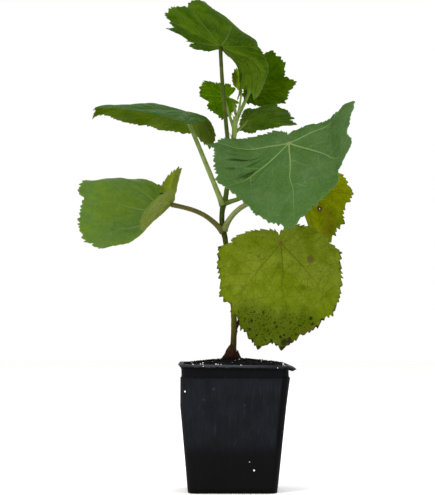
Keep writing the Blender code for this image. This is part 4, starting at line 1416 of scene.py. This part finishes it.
def potPaint():
    paint = Paint("black_plastic")
    place = paint.objectPlace()
    x, y, z = paint.parts(place)
    patches = paint.grain(place, 24.0, 4.0, 0.6)
    fine = paint.grain(place, 0.9)
    drips = paint.streaks(place, 0.08, 3.0)
    rubs = paint.streaks(place, 0.03, 1.3, detail=3.0)
    ranges = {name: [value * mm for value in ends] for name, ends in potRanges.items()}
    # dust and a painted sheen, lighter and bluer, over the upper part of the pot and faintly below it
    upper = 0.1 + 0.9 * paint.fade(z, *ranges["dustAndSheen"])
    dustAndSheenMask = (0.55 + 0.45 * paint.fade(patches + (drips - 0.5) * 0.6, 0.3, 0.7)) * upper
    tones = {name: tone(*tint) for name, tint in potTones.items()}
    colour = paint.mix(dustAndSheenMask, tones["clean"], tones["dustAndSheen"])
    colour = paint.mix(paint.fade(rubs, 0.56, 0.72) * dustAndSheenMask * 0.5, colour, tones["rubbed"])
    colour = paint.mix(paint.fade(fine, 0.6, 0.85) * 0.15 * upper, colour, tones["specks"])

    # painted shade: the corners are darker, the right ones more widely, and so are the collar and the foot
    depth = y.maths("ABSOLUTE")
    right = paint.fade(x.maths("MINIMUM", depth) - 0.094 * z, *ranges["right"])
    left = paint.fade((0 - x).maths("MINIMUM", depth) - 0.09 * z, *ranges["left"])
    collar = paint.fade(z + (drips - 0.5) * 0.006, *ranges["collar"])
    foot = paint.fade(z, *ranges["foot"])
    paintedShade = (right * 0.95).maths("MAXIMUM", left * 0.6)
    paintedShade = paintedShade.maths("MAXIMUM", (collar * 0.7).maths("MAXIMUM", foot * 0.8))
    colour = paint.mix(paintedShade, colour, tones["shaded"])
    front = -50 * mm
    scuffs = [((across * mm, front, up * mm), radius * mm) for across, up, radius in pot["scuffs"]]
    rubbed = paint.fade(paint.spots(place, scuffs) + (fine - 0.5) * 0.004, *ranges["scuff"])
    colour = paint.mix(rubbed * 0.3, colour, tones["scuffed"])

    # the lip's upper edge is pale with dust and a painted highlight, most of all left of the middle
    level = z + x * (pot["droop"][0] / pot["lipHalf"])
    worn = paint.fade(level + (drips - 0.5) * 0.003, *ranges["worn"])
    middle = paint.fade((x + 10 * mm).maths("ABSOLUTE"), *ranges["middle"])
    colour = paint.mix(worn * (0.3 + 0.6 * middle), colour, tones["worn"])
    normal = paint.bump(fine * 0.4 + drips * 0.5, 0.4, 0.25)
    return paint.finish(colour=colour, roughness=0.5 + 0.25 * dustAndSheenMask, normal=normal, gloss=0.04)


# Soil, its crumbs and the white grains on it

soil = {
    "edge": 118.9,              # height at the pot's wall
    "peak": 125.0,              # height at the stem
    "clearance": 0.3,
    "lump": 0.55,
    "relief": ((1, 5.0, 1), (0.6, 2.0, 1), (0.5, 0.9, 1)),
    "crumbs": 1500,
    "crumbSize": (0.25, 0.65),
    "grains": 24,
    "grainSize": (0.4, 0.8),
    "grid": (400, 120),
    "turns": (0.6, 0.2),        # where on the grid the wall begins, and what it and the under side each take
    "strewn": (-46, 48),        # from where to where crumbs and grains lie
    "clearFoot": 7.0,           # how far they keep from the stem
    "clearCorner": 87,          # and how far out over a corner they may lie, as x and y together
    "dented": 0.3,              # share by which a crumb's or grain's points are moved in or out
    "stretched": (0.55, 1.25),
    "onLip": 2.0,               # how far inside the lip's reach the grains on it lie
    # a light and a dark tone of each
    "tones": {
        "potting_mix": ((21, 20, 18), (11, 10, 10)),
        "crumb_brown": ((28, 25, 22), (14, 13, 12)),
        "white_grain": ((240, 238, 232), (196, 192, 184)),
    },
}
# Grains that show in the photo on the lip and the wall: pixel column and row, radius in millimetres
seenGrains = (
    (193, 365.0, 1.0), (203, 365.5, 1.2), (206, 365.8, 0.8), (216, 364.3, 0.9), (218, 364.5, 0.8),
    (241, 365.5, 1.0), (278, 367.3, 1.0), (276, 366.6, 0.7), (283, 366.6, 1.1), (285, 366.6, 0.9),
    (185, 391.5, 0.85), (249.5, 462, 0.5), (254, 470.5, 0.85),
)


def soilHeight(share):
    return soil["edge"] + (soil["peak"] - soil["edge"]) * share**0.9


def soilPiece():
    def rule(u, v):
        # v runs from the middle of the top to the rim, down the wall and to the middle underneath
        rim, span = soil["turns"]
        share = np.clip(1 - v / rim, 0, 1)
        wall = np.clip((v - rim) / span, 0, 1)
        under = np.clip((v - (rim + span)) / span, 0, 1)
        bottom = pot["floor"] + soil["clearance"]
        heights = np.where(v <= rim, soilHeight(share), soil["edge"] + (bottom - soil["edge"]) * wall)
        halves, shifts = innerHalf(heights)
        halves = (halves - soil["clearance"]) * (1 - share) * (1 - under)
        corners = (pot["corner"] + 1) * (1 - share) * (1 - under)
        corners = corners + (halves - corners) * share
        x, y = squarePlace(u, halves, corners)
        places = np.stack([x + shifts * (1 - share), y, heights], axis=1)
        free = easyStep(1 - share, 0.16, 0.35) * (v <= rim)
        places[:, 2] += free * (soil["lump"] * layered(places, soil["relief"], 31) - 0.2)
        return places, None

    closedPiece("soil_mound", soil["grid"], rule, "soil", soilPaint("potting_mix"), "soil")


def soilPaint(name):
    light, dark = soil["tones"][name]
    paint = Paint(name)
    place = paint.objectPlace()
    coarse = paint.grain(place, 3.5, 5.0, 0.65)
    fine = paint.grain(place, 0.7, 4.0, 0.6)
    colour = paint.mix(paint.fade(coarse, 0.3, 0.7), tone(*dark), tone(*light))
    colour = paint.mix(paint.fade(fine, 0.62, 0.75) * 0.5, colour, tone(*(1.9 * value for value in light)))
    normal = paint.bump(fine + coarse * 0.6, 0.9, 0.6)
    return paint.finish(colour=colour, roughness=0.85 + 0.1 * fine, normal=normal, gloss=0.02)


def manyGrains(name, places, sizes, seed):
    # One small lump, repeated as an array and then put in its places, each turned its own way
    bpy.ops.object.select_all(action="DESELECT")
    bpy.ops.mesh.primitive_ico_sphere_add(subdivisions=2, radius=mm)
    piece = bpy.context.object
    piece.name = piece.data.name = name
    applied(piece, "ARRAY", count=len(places), use_relative_offset=False)
    draw = np.random.default_rng(seed)
    lumps = readPoints(piece).reshape(len(places), -1, 3)
    lumps = lumps * (1 + soil["dented"] * draw.uniform(-1, 1, lumps.shape[:2])[:, :, None])
    stretch = draw.uniform(*soil["stretched"], (len(places), 3))
    turns = np.linalg.qr(draw.normal(size=(len(places), 3, 3)))[0]
    turns *= np.sign(np.linalg.det(turns))[:, None, None]
    lumps = np.einsum("nvi,nij->nvj", lumps * stretch[:, None, :], turns)
    lumps = lumps * np.array(sizes)[:, None, None] + np.array(places)[:, None, :]
    placePoints(piece, lumps.reshape(-1, 3))
    return piece


def groundAt(x, y):
    # Height of the soil's smooth surface, and how far out a place lies from 0 to 1
    half, shift = innerHalf(soil["edge"])
    out = np.maximum(np.abs(x - shift), np.abs(y)) / (half - soil["clearance"])
    return soilHeight(1 - np.clip(out, 0, 1)), out


def scattered(count, sizes, seed):
    draw = np.random.default_rng(seed)
    x, y = draw.uniform(*soil["strewn"], (2, count * 2))
    height, out = groundAt(x, y)
    away = np.hypot(x, y)
    shift = float(innerHalf(soil["edge"])[1])
    chosen = (out < 0.96) & (away > soil["clearFoot"])
    chosen &= np.abs(x - shift) + np.abs(y) < soil["clearCorner"]
    places = np.stack([x, y, height], axis=1)[chosen][:count]
    radii = sizes[0] + (sizes[1] - sizes[0]) * draw.uniform(0, 1, len(places)) ** 2
    return places, radii


def seenPlace(column, row):
    # Where a grain seen in the photo lies: on the front of the lip or on the front wall
    focal = photoView["focal"]
    wide, tall = photoView["size"]
    pitch = math.radians(photoView["pitch"])
    across = (column - wide / 2) / focal
    up = (tall / 2 - row) / focal
    ahead = np.array((across, math.cos(pitch) - up * math.sin(pitch), math.sin(pitch) + up * math.cos(pitch)))
    start = np.array(photoView["place"])
    lip = -pot["lipHalf"]
    depth = lip
    for _ in range(3):
        spot = start + ahead * (depth - start[1]) / ahead[1]
        wall = float(innerHalf(spot[2])[0]) + pot["wall"]
        depth = lip + soil["onLip"] if spot[2] > pot["lipBottom"] else -wall
    return spot


def grainPieces():
    places, radii = scattered(soil["crumbs"], soil["crumbSize"], 61)
    crumbs = manyGrains("soil_crumbs", places, radii, 62)
    ready(crumbs, "soil", [soilPaint("crumb_brown")])
    places, radii = scattered(soil["grains"], soil["grainSize"], 63)
    places = np.vstack([places, [seenPlace(*spot[:2]) for spot in seenGrains]])
    radii = np.concatenate([radii, [spot[2] for spot in seenGrains]])
    grains = manyGrains("white_grains", places, radii, 64)
    ready(grains, "soil", [grainPaint()])


def grainPaint():
    paint = Paint("white_grain")
    place = paint.objectPlace()
    pores = paint.grain(place, 0.35, 4.0)
    light, dark = (tone(*tint, light=1) for tint in soil["tones"]["white_grain"])
    colour = paint.mix(paint.fade(pores, 0.35, 0.6), dark, light)
    normal = paint.bump(pores, 0.8, 0.3)
    return paint.finish(colour=colour, roughness=0.8 + 0.1 * pores, normal=normal, gloss=0.1)


print("filling the pot")
potPiece()
soilPiece()
grainPieces()


# Floor, light and camera

studio = {
    "floorSize": 9.0,
    "floorTone": (252, 252, 251),
    "sky": (1.0, 1.0, 1.0, 1.0),
    "skyPower": 1.0,
    # place, size, power and colour of each soft lamp, all turned to the plant
    "lamps": {
        "key": ((-1.5, -1.9, 2.1), 1.6, 60.0, (1.0, 0.98, 0.95)),
        "fill": ((1.9, -1.6, 1.0), 1.8, 22.0, (0.95, 0.98, 1.0)),
        "back": ((0.6, 1.9, 1.6), 1.6, 22.0, (1.0, 1.0, 1.0)),
    },
    "aim": (0.0, 0.0, 0.24),
}


def turnedTo(item, target):
    way = np.array(target) - np.array(item.location)
    yaw = math.atan2(way[1], way[0]) - math.pi / 2
    tilt = math.atan2(way[2], math.hypot(way[0], way[1])) + math.pi / 2
    item.rotation_euler = (tilt, 0, yaw)


def makeStudio():
    bpy.ops.mesh.primitive_plane_add(size=studio["floorSize"], location=(0, 0, -0.0004))
    floor = bpy.context.object
    floor.name = "floor"
    paint = Paint("pale_floor")
    speckle = paint.grain(paint.objectPlace(), 40.0, 2.0)
    shade = tuple(0.98 * value for value in studio["floorTone"])
    colour = paint.mix(speckle, tone(*studio["floorTone"], light=1), tone(*shade, light=1))
    floor.data.materials.append(paint.finish(colour=colour, roughness=0.9, gloss=0.1))

    world = bpy.data.worlds.new("white_room")
    bpy.context.scene.world = world
    world.use_nodes = True
    sky = world.node_tree.nodes["Background"]
    sky.inputs["Color"].default_value = studio["sky"]
    sky.inputs["Strength"].default_value = studio["skyPower"]

    for name, (place, size, power, colour) in studio["lamps"].items():
        bpy.ops.object.light_add(type="AREA", location=place)
        lamp = bpy.context.object
        lamp.name = lamp.data.name = name
        lamp.data.size = size
        lamp.data.energy = power
        lamp.data.color = colour
        turnedTo(lamp, studio["aim"])
    bpy.context.scene.view_settings.view_transform = "Standard"


def makeCamera():
    place = [value * mm for value in photoView["place"]]
    bpy.ops.object.camera_add(location=place, rotation=(math.radians(90 + photoView["pitch"]), 0, 0))
    camera = bpy.context.object
    camera.name = "photo_camera"
    camera.data.sensor_width = photoView["sensor"]
    camera.data.lens = photoView["focal"] * photoView["sensor"] / max(photoView["size"])
    camera.data.clip_start = 0.01
    bpy.context.scene.camera = camera


print("lighting the room")
makeStudio()
makeCamera()
